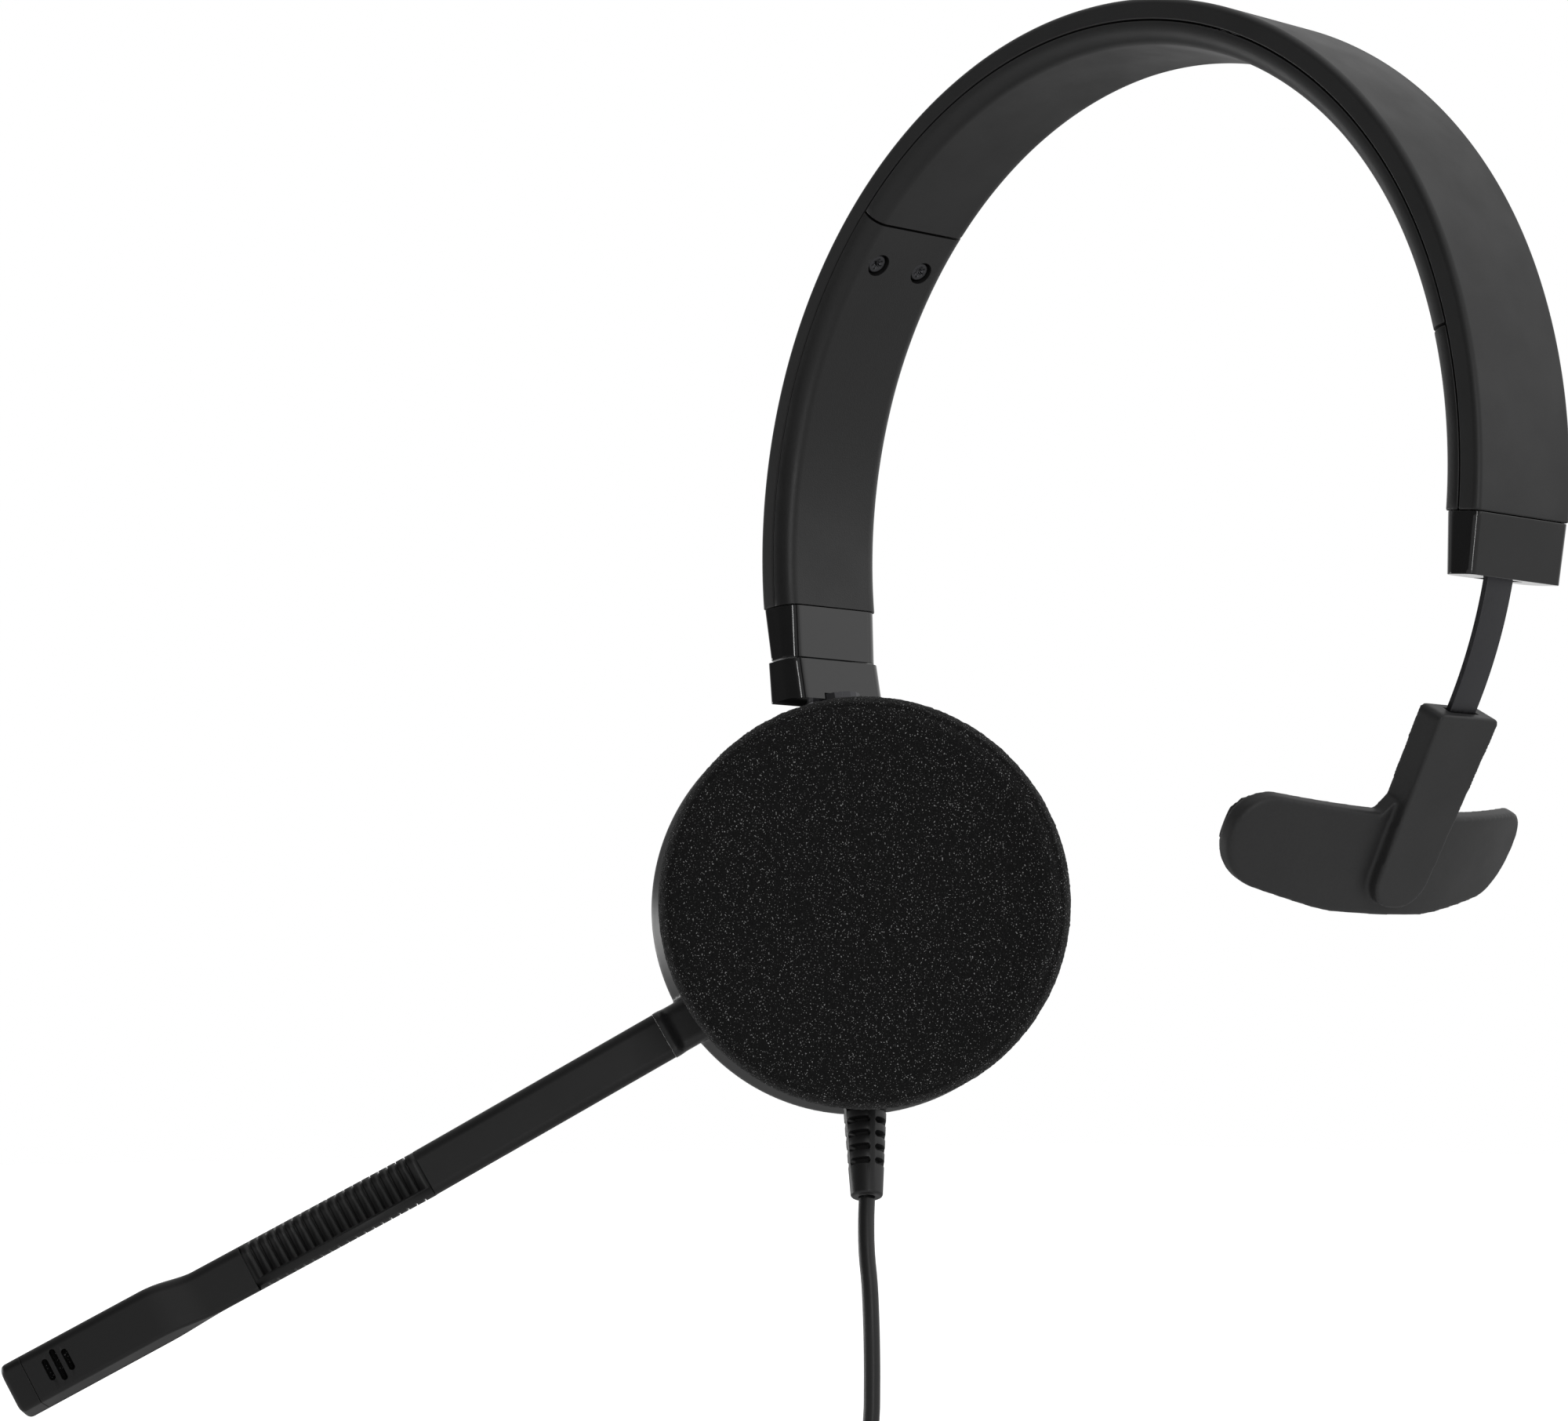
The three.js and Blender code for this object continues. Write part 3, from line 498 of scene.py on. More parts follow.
def remesh(piece, voxel, smoothing):
    """Rebuilds a piece as one even skin and softens it, which fillets its inner corners."""
    step = piece.modifiers.new("remesh", "REMESH")
    step.mode = "VOXEL"
    step.voxel_size = voxel * MM
    soften = piece.modifiers.new("soften", "SMOOTH")
    soften.iterations = smoothing
    soften.factor = 0.5
    bake(piece)


# ---------- materials ----------


def new_material(name, color, roughness, **sockets):
    """A Principled material; sockets are the shader's other inputs, with _ for spaces."""
    material = bpy.data.materials.new(name)
    material.use_nodes = True
    shader = material.node_tree.nodes["Principled BSDF"]
    shader.inputs["Base Color"].default_value = (*color, 1)
    shader.inputs["Roughness"].default_value = roughness
    for socket, value in sockets.items():
        shader.inputs[socket.replace("_", " ")].default_value = value
    return material, material.node_tree, shader


def noise_at(tree, size, detail=3.0, kind="ShaderNodeTexNoise"):
    """A noise texture whose features are about size mm across."""
    position = tree.nodes.new("ShaderNodeTexCoord")
    texture = tree.nodes.new(kind)
    texture.inputs["Scale"].default_value = 1 / (size * MM)
    if "Detail" in texture.inputs:
        texture.inputs["Detail"].default_value = detail
    tree.links.new(position.outputs["Object"], texture.inputs["Vector"])
    return texture


def remap(tree, value, low, high, to_low, to_high):
    node = tree.nodes.new("ShaderNodeMapRange")
    node.inputs["From Min"].default_value = low
    node.inputs["From Max"].default_value = high
    node.inputs["To Min"].default_value = to_low
    node.inputs["To Max"].default_value = to_high
    tree.links.new(value, node.inputs["Value"])
    return node.outputs["Result"]


def tint(tree, value, dark, light):
    node = tree.nodes.new("ShaderNodeMix")
    node.data_type = "RGBA"
    node.inputs["A"].default_value = (*dark, 1)
    node.inputs["B"].default_value = (*light, 1)
    tree.links.new(value, node.inputs["Factor"])
    return node.outputs["Result"]


def relief(tree, shader, height, depth):
    """Bumps the surface by depth mm."""
    bump = tree.nodes.new("ShaderNodeBump")
    bump.inputs["Distance"].default_value = depth * MM
    bump.inputs["Strength"].default_value = 1.0
    tree.links.new(height, bump.inputs["Height"])
    tree.links.new(bump.outputs["Normal"], shader.inputs["Normal"])


def moulded(name, shade, roughness, grain=0.12, depth=0.004, spread=0.05, **sockets):
    """Moulded plastic or rubber: a fine grain, and soft blotches in its shade and its gloss."""
    material, tree, shader = new_material(name, (shade,) * 3, roughness, **sockets)
    fine = noise_at(tree, grain, 2.0)
    broad = noise_at(tree, 9.0, 4.0)
    speck = noise_at(tree, grain * 2.5, 1.0)
    relief(tree, shader, fine.outputs["Fac"], depth)
    patches = remap(tree, broad.outputs["Fac"], 0.35, 0.65, roughness - spread, roughness + spread)
    tree.links.new(patches, shader.inputs["Roughness"])
    colour = tint(tree, speck.outputs["Fac"], (shade * 0.82,) * 3, (shade * 1.18, shade * 1.18, shade * 1.22))
    tree.links.new(colour, shader.inputs["Base Color"])
    return material


def brushed(name, color, roughness, grain=0.25):
    """Steel or brass with fine drawn lines and a patchy finish."""
    material, tree, shader = new_material(name, color, roughness, Metallic=1.0)
    position = tree.nodes.new("ShaderNodeTexCoord")
    stretch = tree.nodes.new("ShaderNodeMapping")
    stretch.inputs["Scale"].default_value = (1, 1, 0.06)
    lines = tree.nodes.new("ShaderNodeTexNoise")
    lines.inputs["Scale"].default_value = 1 / (grain * MM)
    tree.links.new(position.outputs["Object"], stretch.inputs["Vector"])
    tree.links.new(stretch.outputs["Vector"], lines.inputs["Vector"])
    relief(tree, shader, lines.outputs["Fac"], 0.003)
    patches = remap(tree, lines.outputs["Fac"], 0.3, 0.7, roughness - 0.08, roughness + 0.08)
    tree.links.new(patches, shader.inputs["Roughness"])
    dark = tuple(channel * 0.8 for channel in color)
    tree.links.new(tint(tree, lines.outputs["Fac"], dark, color), shader.inputs["Base Color"])
    return material


def foam_material():
    """Open-cell foam: painted shade darkens the pores between lighter walls, and painted glints brighten a
    few specks.
    """
    material, tree, shader = new_material(
        "foam", (0.008,) * 3, 0.9, Sheen_Weight=0.1, Sheen_Roughness=0.4, Specular_IOR_Level=0.2
    )
    cells = noise_at(tree, 0.55, kind="ShaderNodeTexVoronoi")
    cells.feature = "F1"
    fine = noise_at(tree, 0.3, 3.0)
    walls = remap(tree, cells.outputs["Distance"], 0.25, 0.75, 0.0, 1.0)
    mixed = tree.nodes.new("ShaderNodeMath")
    mixed.operation = "ADD"
    tree.links.new(walls, mixed.inputs[0])
    tree.links.new(fine.outputs["Fac"], mixed.inputs[1])
    relief(tree, shader, mixed.outputs["Value"], 0.28)
    # Painted glints: a few light grey specks in the colour stand in for cell walls catching the light.
    painted_glints = noise_at(tree, 0.2, 0.0)
    bright = remap(tree, painted_glints.outputs["Fac"], 0.70, 0.80, 0.0, 1.0)
    # Painted shade: the colour is darker where the relief sits low, in the pores, and lighter on the walls.
    pore_shade_tint = tint(tree, mixed.outputs["Value"], (0.001,) * 3, (0.009,) * 3)
    mix = tree.nodes.new("ShaderNodeMix")
    mix.data_type = "RGBA"
    mix.inputs["B"].default_value = (0.36, 0.36, 0.36, 1)
    tree.links.new(bright, mix.inputs["Factor"])
    tree.links.new(pore_shade_tint, mix.inputs["A"])
    tree.links.new(mix.outputs["Result"], shader.inputs["Base Color"])
    return material


soft_touch = moulded("soft_touch", 0.014, 0.50, grain=0.10, depth=0.003, spread=0.04)
grained = moulded("grained_plastic", 0.011, 0.42, grain=0.22, depth=0.020, spread=0.04)
gloss = moulded(
    "gloss_plastic", 0.008, 0.09, grain=0.8, depth=0.0006, spread=0.03, Coat_Weight=0.3, Coat_Roughness=0.03
)
satin = moulded("satin_plastic", 0.024, 0.34, grain=0.09, depth=0.002, spread=0.03)
boom_rubber = moulded("boom_rubber", 0.0033, 0.48, grain=0.10, depth=0.003, spread=0.05)
rest_plastic = moulded("rest_plastic", 0.020, 0.52, grain=0.12, depth=0.004, spread=0.04)
cord_rubber = moulded("cord_rubber", 0.014, 0.42, grain=0.15, depth=0.003, spread=0.05)
pad_rubber = moulded("pad_rubber", 0.016, 0.6, grain=0.3, depth=0.012, spread=0.05)
dark_steel = brushed("dark_steel", (0.085, 0.085, 0.09), 0.38)
steel = brushed("steel", (0.55, 0.55, 0.56), 0.3)
brass = brushed("brass", (0.6, 0.42, 0.16), 0.3)
circuit = moulded("circuit", 0.02, 0.4, grain=1.5, depth=0.01)
foam = foam_material()


# ---------- headband ----------

OUTER_SECTION = [
    (-BAND_HALF_WIDTH, SEAM),
    (-6.3, SEAM),
    (-6.3, 1.1),
    (6.3, 1.1),
    (6.3, SEAM),
    (BAND_HALF_WIDTH, SEAM),
    (BAND_HALF_WIDTH, HALF_THICKNESS, 0.9),
    (-BAND_HALF_WIDTH, HALF_THICKNESS, 0.9),
]
LINER_SECTION = [
    (-BAND_HALF_WIDTH, -HALF_THICKNESS, 2.3),
    (BAND_HALF_WIDTH, -HALF_THICKNESS, 2.3),
    (BAND_HALF_WIDTH, -SEAM),
    (-BAND_HALF_WIDTH, -SEAM),
]


def arm_section(half_channel, channel_depth):
    return LINER_SECTION[:3] + [
        (half_channel, -SEAM),
        (half_channel, channel_depth),
        (-half_channel, channel_depth),
        (-half_channel, -SEAM),
        LINER_SECTION[3],
    ]


def across_band(length, across):
    """A placing matrix on the headband with z outward, at a place along and across it."""
    place, outward = arch(length)
    along = Vector((0, 1, 0)).cross(outward)
    return basis(along, (0, 1, 0), outward, place + Vector((0, across, 0)))


def clamp_screw(name, across):
    """A pan-head screw with a six-lobed recess."""
    place = across_band(-SCREW_AT, across)
    top = -HALF_THICKNESS + 0.4
    head_bottom = top + 0.9
    shape = turned([
        (0, top),
        (1.45, top, 0.25),
        (1.45, head_bottom),
        (0.65, head_bottom),
        (0.65, 1.9),
        (0, 1.9),
    ], 48)
    screw = make(name, shape, dark_steel, "headband", place, replaces=(name,))
    lobes = []
    steps = 72
    for index in range(steps):
        angle = 2 * math.pi * index / steps
        reach = 0.62 + 0.17 * math.cos(6 * angle)
        lobes.append((reach * math.cos(angle), reach * math.sin(angle)))
    combine(screw, [plate(lobes, top - 1, top + 0.55)], "DIFFERENCE", place)


def headband():
    bands = (
        ("headband_cover", OUTER_SECTION, -ARM_END, ARM_END, "outer_cover"),
        ("headband_liner", LINER_SECTION, -CUP_SEAM, REST_SEAM, "crown_liner"),
    )
    for name, section, start, end, node in bands:
        shape = along_arch(section, start, end)
        make(name, shape, soft_touch, "headband", bevel=0.2, replaces=(node,))

    cup_arm = along_arch(arm_section(4.8, -0.9), -ARM_END, -CUP_SEAM - GAP)
    arm = make("cup_arm", cup_arm, grained, "headband", replaces=("cup_arm_cover",))
    for across in (-SCREW_ACROSS, SCREW_ACROSS):
        bore = turned([(0, -5), (1.75, -5), (1.75, -1.6), (0, -1.6)], 48)
        combine(arm, [bore], "DIFFERENCE", across_band(-SCREW_AT, across))
    round_edges(arm, 0.16)
    rest_arm = along_arch(arm_section(3.9, -1.6), REST_SEAM + GAP, ARM_END)
    rest_nodes = ("rest_arm_cover",)
    make("rest_arm", rest_arm, grained, "headband", bevel=0.2, replaces=rest_nodes)

    clamp_screw("cup_screw_front", -SCREW_ACROSS)
    clamp_screw("cup_screw_back", SCREW_ACROSS)


def band_block(section, side, near, far, reshape):
    """A straight block along the tangent of an arm's end, whose far end is reshaped."""
    place, outward = arch(side * ARM_END)
    across = Vector((0, side, 0))
    along = across.cross(outward)
    frame_here = basis(across, outward, along, place)
    flat = outline(section, 10)
    count = 12
    rings = []
    for index in range(count + 1):
        share = index / count
        ring = []
        for point in flat:
            moved = point.lerp(Vector(reshape(point.x, point.y)), share)
            ring.append(frame_here @ Vector((moved.x, moved.y, near + (far - near) * share)))
        rings.append(ring)
    return loft(rings)


SHELL_HALF_WIDTH = BAND_HALF_WIDTH - SHELL_STEP
SHELL_HALF_THICKNESS = HALF_THICKNESS - SHELL_STEP
COLLAR_SECTION = [
    (-SHELL_HALF_WIDTH, -SHELL_HALF_THICKNESS, 2.6),
    (SHELL_HALF_WIDTH, -SHELL_HALF_THICKNESS, 2.6),
    (SHELL_HALF_WIDTH, SHELL_HALF_THICKNESS, 1.0),
    (-SHELL_HALF_WIDTH, SHELL_HALF_THICKNESS, 1.0),
]


def sleeve(name, side, strip_half_width, half_slot, node):
    """A glossy sleeve, narrower at its lower end, with a slot for the strip."""
    length = COLLAR_END - ARM_END
    shape = band_block(COLLAR_SECTION, side, SEAM, length, lambda x, y: (x * 0.973, y * 0.85))
    piece = make(name, shape, gloss, "headband", replaces=(node,))
    opening = box2d(strip_half_width, -half_slot, half_slot, 0.3)
    slot = along_arch(opening, side * (ARM_END - 2), side * (COLLAR_END + 2))
    combine(piece, [slot], "DIFFERENCE")
    round_edges(piece, 0.35, 4)


def yoke_reshape(x, y):
    """The yoke grows toward the head at its lower end."""
    return (x, y - BLOCK_FLARE if y < 0 else y)


def sliders():
    """The two sleeves, and the strip with its yoke, which has a round socket for the swivel."""
    sleeve("cup_sleeve", -1, 5.1, 1.1, "cup_collar")
    sleeve("rest_sleeve", 1, 3.05, 1.4, "rest_collar")
    strip = along_arch(box2d(4.5, -0.5, 0.5, 0.15), -81, -BLOCK_START - 1.9)
    make("cup_strip", strip, dark_steel, "slider", replaces=("slider_strip",))
    near, far = BLOCK_START - ARM_END, BLOCK_END - ARM_END
    shape = band_block(COLLAR_SECTION, -1, near, far, yoke_reshape)
    block = make("yoke", shape, gloss, "slider", replaces=("yoke_block",))
    pocket = along_arch(box2d(4.8, -0.8, 0.8), -BLOCK_START + 2, -BLOCK_START - 2.2)
    socket = turned([(0, 2), (4.2, 2), (4.2, 6.6), (2, 6.6), (2, 9), (0, 9)], 64)
    tilt = joint("cup_tilt")
    swivel_axis = Vector(joint("cup_swivel")["axis"])
    tilt_axis = Vector(tilt["axis"])
    swivel = basis(tilt_axis, swivel_axis.cross(tilt_axis), swivel_axis, Vector(tilt["pos_m"]) / MM)
    combine(block, [pocket], "DIFFERENCE")
    combine(block, [socket], "DIFFERENCE", swivel)
    round_edges(block, 0.7, 5)


# ---------- ear cup ----------


def foam_cushion():
    """A foam disc with a soft rim; the skin itself is pitted."""
    profile = outline([
        (0, FOAM_BACK),
        (FOAM_RADIUS, FOAM_BACK, 1.2),
        (FOAM_RADIUS, FOAM_FACE, 4.2),
        (0, FOAM_FACE),
    ], 14)
    dense = []
    spacing = 0.32
    for index in range(len(profile) - 1):
        start, end = profile[index], profile[index + 1]
        count = max(1, round((end - start).length / spacing))
        dense += [start.lerp(end, step / count) for step in range(count)]
    dense.append(profile[-1])
    rings = []
    segments = 560
    for index in range(segments):
        angle = 2 * math.pi * index / segments
        ring = []
        for point in dense:
            place = Vector((point.x * math.cos(angle), point.x * math.sin(angle), point.y))
            rounding = FOAM_CROWN * (1 - (point.x / FOAM_RADIUS) ** 2) if point.y > FOAM_FACE - 1 else 0
            sink = Vector((0, 0, FOAM_CROWN - rounding)) * (rounding > 0)
            near_rim = point.x > FOAM_RADIUS - 3
            outward = Vector((place.x, place.y, 0)).normalized() if near_rim else Vector()
            pits = noise.noise(place * 2.3) * 0.16 + noise.noise(place * 0.9) * 0.06
            direction = outward + Vector((0, 0, 1 if point.y > 9 else 0))
            ring.append(place + direction.normalized() * (pits - 0.12) - sink)
        rings.append(ring)
    shape = loft(rings, closed=True)
    cushion = make("foam_pad", shape, foam, "cup", CUP, replaces=("foam_cushion",))


def ear_cup():
    """The foam, and the turned shells behind it."""
    foam_cushion()
    shell = turned([
        (20.5, -16.9),
        (20.5, -9.3, 0.6),
        (HOUSING_RADIUS, -9.3, 1.4),
        (HOUSING_RADIUS, 4.2, 0.3),
        (25.7, 4.2),
        (25.7, -7.5),
        (18.9, -7.5),
        (18.9, -16.9),
    ])
    make("cup_shell", shell, satin, "cup", CUP, replaces=("housing",))
    baffle = turned([
        (0, 2.6),
        (19.8, 2.6),
        (19.8, 4.5),
        (28.6, 4.5, 0.12),
        (28.6, 4.85, 0.12),
        (0, 4.85),
    ])
    make("cup_baffle", baffle, grained, "cup", CUP, replaces=("baffle",))
    cap = turned([
        (0, -18.7),
        (19.2, -18.7, 0.4),
        (19.7, -19, 0.2),
        (24, -19, 1.1),
        (24, -17.35, 0.2),
        (18.5, -17.35),
        (18.5, -15),
        (0, -15),
    ])
    make("cup_cap", cap, satin, "cup", CUP, replaces=("outer_cap",))


def slot_round(inner, outer, level, half_height, middle, reach):
    """A cutter for a round-ended slot that runs part of the way round z, in degrees from the front."""
    per_degree = inner * 0.03
    flat = outline(box2d(reach * per_degree, -half_height, half_height, half_height), 6)
    rings = []
    for radius in (inner, outer):
        ring = []
        for point in flat:
            angle = math.radians(90 - middle - point.x / per_degree)
            ring.append(Vector((radius * math.cos(angle), radius * math.sin(angle), level + point.y)))
        rings.append(ring)
    return loft(rings)


def strain_relief():
    """A tapered boot with rows of slots either side of a spine."""
    shape = turned([
        (0, -1.2),
        (3.35, -1.2),
        (3.35, 1.2, 1.0),
        (3.2, 2.6, 2.0),
        (2.35, RELIEF_LENGTH, 0.45),
        (1.25, RELIEF_LENGTH),
        (1.25, RELIEF_LENGTH - 1.5),
        (0, RELIEF_LENGTH - 1.5),
    ], 96)
    boot = make("cord_boot", shape, cord_rubber, "cup", RELIEF, replaces=("strain_relief",))
    cutters = []
    for row in range(5):
        level = 3.1 + 2.06 * row
        for column in range(4):
            cutters.append(slot_round(1.75, 5, level, 0.5, 64 + 90 * column, 38))
    combine(boot, cutters, "DIFFERENCE", RELIEF)
    round_edges(boot, 0.12, 2)
    return boot


# ---------- boom ----------


def rounded_section(half_width, low, high, radius, steps=6):
    return [(p.x, p.y) for p in outline(box2d(half_width, low, high, radius), steps)]


def boom_ring():
    """The coned ring round the cup, drawn out softly into the root of the boom."""
    ring = turned([
        (20.8, RING_BACK),
        (RING_RADIUS, RING_BACK, 1.0),
        (RING_RADIUS, RING_BACK + 1.4, 1.0),
        (28.2, RING_FRONT, 0.4),
        (20.8, RING_FRONT),
    ], 160)
    piece = make("boom_hub", ring, satin, "boom", CUP, replaces=("boom_ring",))
    half, depth = BOOM_HALF_WIDTH, BOOM_HALF_DEPTH
    root = along_x([
        (24, rounded_section(half, -depth + 0.3, depth - 0.5, 1.4)),
        (33.0, rounded_section(half, -depth + 0.1, depth - 0.5, 1.4)),
        (33.9, rounded_section(half + 0.1, -depth - 0.1, depth + 0.2, 1.4)),
        (STUB_END + 2, rounded_section(half + 0.1, -depth - 0.1, depth + 0.1, 1.4)),
    ])
    combine(piece, [root], "UNION", BOOM)
    remesh(piece, 0.28, 5)
    square = [(-10, -10), (10, -10), (10, 10), (-10, 10)]
    beyond = along_x([(STUB_END, square), (STUB_END + 5, square)])
    combine(piece, [beyond], "DIFFERENCE", BOOM)


def boom_arm():
    half, depth = BOOM_HALF_WIDTH, BOOM_HALF_DEPTH
    section = rounded_section(half, -depth, depth, 1.5, steps=8)
    shape = along_x([(x, section) for x in (STUB_END + 0.02, 45, 55, 65, GRIP_START - 0.03)])
    make("boom_tube", shape, boom_rubber, "boom", BOOM, bevel=0.1, replaces=("boom_arm",))


def boom_grip():
    """The flexible stretch, with grooves over its upper edge and short ones under its lower edge."""
    half, depth = BOOM_HALF_WIDTH, BOOM_HALF_DEPTH
    section = rounded_section(half, -depth, depth, 1.5, steps=8)
    pitch = (GRIP_END - GRIP_START - 1.6) / GRIP_GROOVES
    shape = along_x([(x, section) for x in (GRIP_START, GRIP_END + GAP)])
    nodes = ("boom_grip", "boom_wire")
    grip = make("boom_flex", shape, boom_rubber, None, SET_BOOM, replaces=nodes)
    tall = rounded_section(half, -depth - 1, depth + 1, 1.2)
    wide = [(y * 0.82 - half * 0.25 - 0.25, z) for y, z in tall]
    narrow = [(y * 0.12 + half - 0.05, z) for y, z in tall]
    cutters = []
    for index in range(GRIP_GROOVES):
        place = GRIP_START + 1.5 + pitch * index
        for groove in (wide, narrow):
            cutters.append(along_x([(place, groove), (place + GROOVE_WIDTH, groove)]))
    core = rounded_section(half - 0.3, -depth + 0.35, depth - 0.35, 1.2, steps=8)
    inner = along_x([(x, core) for x in (GRIP_START + 0.2, GRIP_END)])
    combine(grip, cutters, "DIFFERENCE", SET_BOOM)
    combine(grip, [inner], "UNION", SET_BOOM)
    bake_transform(grip)


def mic_section(x, inset=0.0, droop=0.0):
    """The microphone's section: it widens from the boom, and its lower side slants."""
    upper = ease((x - 113) / 8)
    lower = ease((x - 111) / 10)
    top = -(BOOM_HALF_WIDTH + (MIC_HALF_WIDTH - MIC_SHIFT - BOOM_HALF_WIDTH) * upper) + inset
    bottom = BOOM_HALF_WIDTH + (MIC_HALF_WIDTH + MIC_SHIFT - BOOM_HALF_WIDTH) * lower - inset
    depth = BOOM_HALF_DEPTH + (MIC_HALF_DEPTH - BOOM_HALF_DEPTH) * upper - inset
    slant = 1.3 * lower
    corners = [
        (top, -depth, 1.2),
        (bottom, -depth, 0.9),
        (bottom, -0.8, 0.6),
        (bottom - slant - 0.01, depth - droop, 0.7),
        (top, depth - droop, 1.3),
    ]
    return [(p.x, p.y) for p in outline(corners, 6)]


def microphone():
    """A flat head that steps out of the boom, with sound slots and a sloping tip."""
    neck_start = GRIP_END + GAP
    count = 60
    stations = []
    for index in range(count + 1):
        x = neck_start + 0.04 + (MIC_SEAM - neck_start - 0.04) * index / count
        stations.append((x, mic_section(x)))
    head = make(
        "mic_body",
        along_x(stations),
        boom_rubber,
        "mic",
        SET_BOOM,
        replaces=("mic_shell_front", "mic_shell_back"),
    )
    slots = []
    for place in (-1, 0, 1):
        half_length = 2.5 if place == 0 else 1.7
        corners = box2d(0.47, -half_length, half_length, 0.46)
        moved = [(x + MIC_PORT + place * 1.6, y + MIC_PORT_ACROSS, radius) for x, y, radius in corners]
        slots.append(plate(moved, 1.6, 5))
    seam = plate([(118, 3.2), (143, 3.2), (143, 6), (118, 6)], -0.55, -0.42)
    combine(head, slots + [seam], "DIFFERENCE", SET_BOOM)
    round_edges(head, 0.12, 2)

    tip = [(MIC_SEAM + 0.08, mic_section(MIC_SEAM)), (MIC_SEAM + 0.6, mic_section(MIC_SEAM, 0, 0.05))]
    rounding = 1.1
    tip.append((MIC_TIP - rounding, mic_section(MIC_SEAM, 0, 0.75)))
    for step in range(1, 9):
        angle = math.pi / 2 * step / 8
        inset = rounding * (1 - math.cos(angle))
        x = MIC_TIP - rounding * (1 - math.sin(angle))
        tip.append((x, mic_section(MIC_SEAM, inset, 0.75 + 0.2 * math.sin(angle))))
    make("mic_tip", along_x(tip), boom_rubber, "mic", SET_BOOM, 0.1, ("mic_end_cap",))


# ---------- temple rest ----------


def bent(point):
    """A point of the flat plate, moved onto its bend."""
    return Vector((point.x, point.y, point.z - PLATE_BEND + math.sqrt(PLATE_BEND**2 - point.y**2)))


def plate_outline(inset):
    """The rest plate: level on top, swept up toward its ends below."""
    half = PLATE_HALF_LENGTH - inset
    top, end, low = PLATE_TOP + inset, PLATE_END_BOTTOM - inset, PLATE_BOTTOM - inset
    return [
        (top, -half, 5.0 - inset),
        (end, -half, 6.5 - inset),
        (low, -10, 25),
        (low, 10, 25),
        (end, half, 6.5 - inset),
        (top, half, 5.0 - inset),
    ]


def soft_plate(inset, low, high, voxel, smoothing):
    """The plate's outline between two levels, rounded at its edges and then bent."""
    work = loose(plate(plate_outline(inset), low, high, 8))
    remesh(work, voxel, smoothing)
    points = [bent(vertex.co / MM) for vertex in work.data.vertices]
    faces = [tuple(polygon.vertices) for polygon in work.data.polygons]
    bpy.data.objects.remove(work)
    return points, faces


def merged(*shapes):
    points, faces = [], []
    for shape_points, shape_faces in shapes:
        offset = len(points)
        points += shape_points
        faces += [tuple(index + offset for index in face) for face in shape_faces]
    return points, faces


def temple_rest():
    """The spring strip, the stem moulded in one with its bent plate, and the pad inside."""
    end_angle = STRIP_EXIT + math.degrees((STRIP_SHOWN + 3) / STRIP_RADIUS)
    start_angle = STRIP_EXIT - math.degrees(STRIP_HIDDEN / STRIP_RADIUS)
    rings = []
    flat = outline(box2d(2.45, -0.4, 0.4, 0.12))
    steps = 40
    for step in range(steps + 1):
        place, outward = strip_place(start_angle + (end_angle - start_angle) * step / steps)
        rings.append([place + Vector((0, p.x, 0)) + outward * p.y for p in flat])
    make("rest_spring", loft(rings), dark_steel, "rest", replaces=("rest_strip",))

    high, low = PLATE_FACE, PLATE_FACE - PLATE_THICKNESS
    backing = soft_plate(0, low, high, 0.35, 2)
    stem = plate([(0, -5.7, 0.9), (26.5, -4.6, 4.0), (26.5, 4.6, 4.0), (0, 5.7, 0.9)], -1.9, 1.9, 8)
    web_end = PLATE_TOP + 0.6
    web = plate([(12.6, -5.4), (web_end, -7.2), (web_end, 7.2), (12.6, 5.4)], low + 0.1, high - 0.1)
    shape = merged(backing, stem, web)
    nodes = ("rest_stem",)
    frame_piece = make("rest_frame", shape, rest_plastic, "rest", STEM, replaces=nodes)
    remesh(frame_piece, 0.22, 5)
    socket = [(-1, -2.75), (1.5, -2.75), (1.5, 2.75), (-1, 2.75)]
    combine(frame_piece, [plate(socket, -0.75, 0.75)], "DIFFERENCE", STEM)

    pad = soft_plate(1.0, low - 1.4, low - 0.1, 0.45, 3)
    cushion = make("rest_pad", pad, pad_rubber, "rest", STEM, replaces=("rest_cushion",))


# ---------- cord pieces ----------


def coil_tie():
    """The strap round one side of the coil."""
    centre = Vector((COIL_CENTRE[0] / MM, COIL_CENTRE[1] / MM - 14, CORD_LEVEL / MM))
    place = CUP @ Matrix.Translation(centre)
    outer = rounded_section(8.6, -6.2, 6.2, 2.2)
    inner = rounded_section(7.9, -5.5, 5.5, 1.6)
    shape = along_x([(-2.5, outer), (2.5, outer)])
    strap = make("coil_strap", shape, pad_rubber, "cup", place, replaces=("cord_tie",))
    combine(strap, [along_x([(-4, inner), (4, inner)])], "DIFFERENCE", place)
    round_edges(strap, 0.25)
    return strap


def plug_grip(place):
    """The plug's moulded grip, which narrows toward the cord and has four grooves on each face."""
    half_width, half_depth = PLUG_HALF
    rings = []
    for z, size in PLUG_STATIONS:
        flat = outline(box2d(half_width * size, -half_depth * size, half_depth * size, PLUG_ROUND * size), 6)
        rings.append([Vector((p.x, p.y, z)) for p in flat])
    nodes = ("plug_grip",)
    grip = make("usb_grip", loft(rings), cord_rubber, "cup", place, bevel=0.3, replaces=nodes)
    grooves = []
    for index in range(4):
        level = -10 - 2.2 * index
        for side in (-1, 1):
            near, far = side * 3.6, side * 4.4
            grooves.append(plate([(-4, near), (4, near), (4, far), (-4, far)], level, level + 0.9))
    combine(grip, grooves, "DIFFERENCE", place)
    return grip


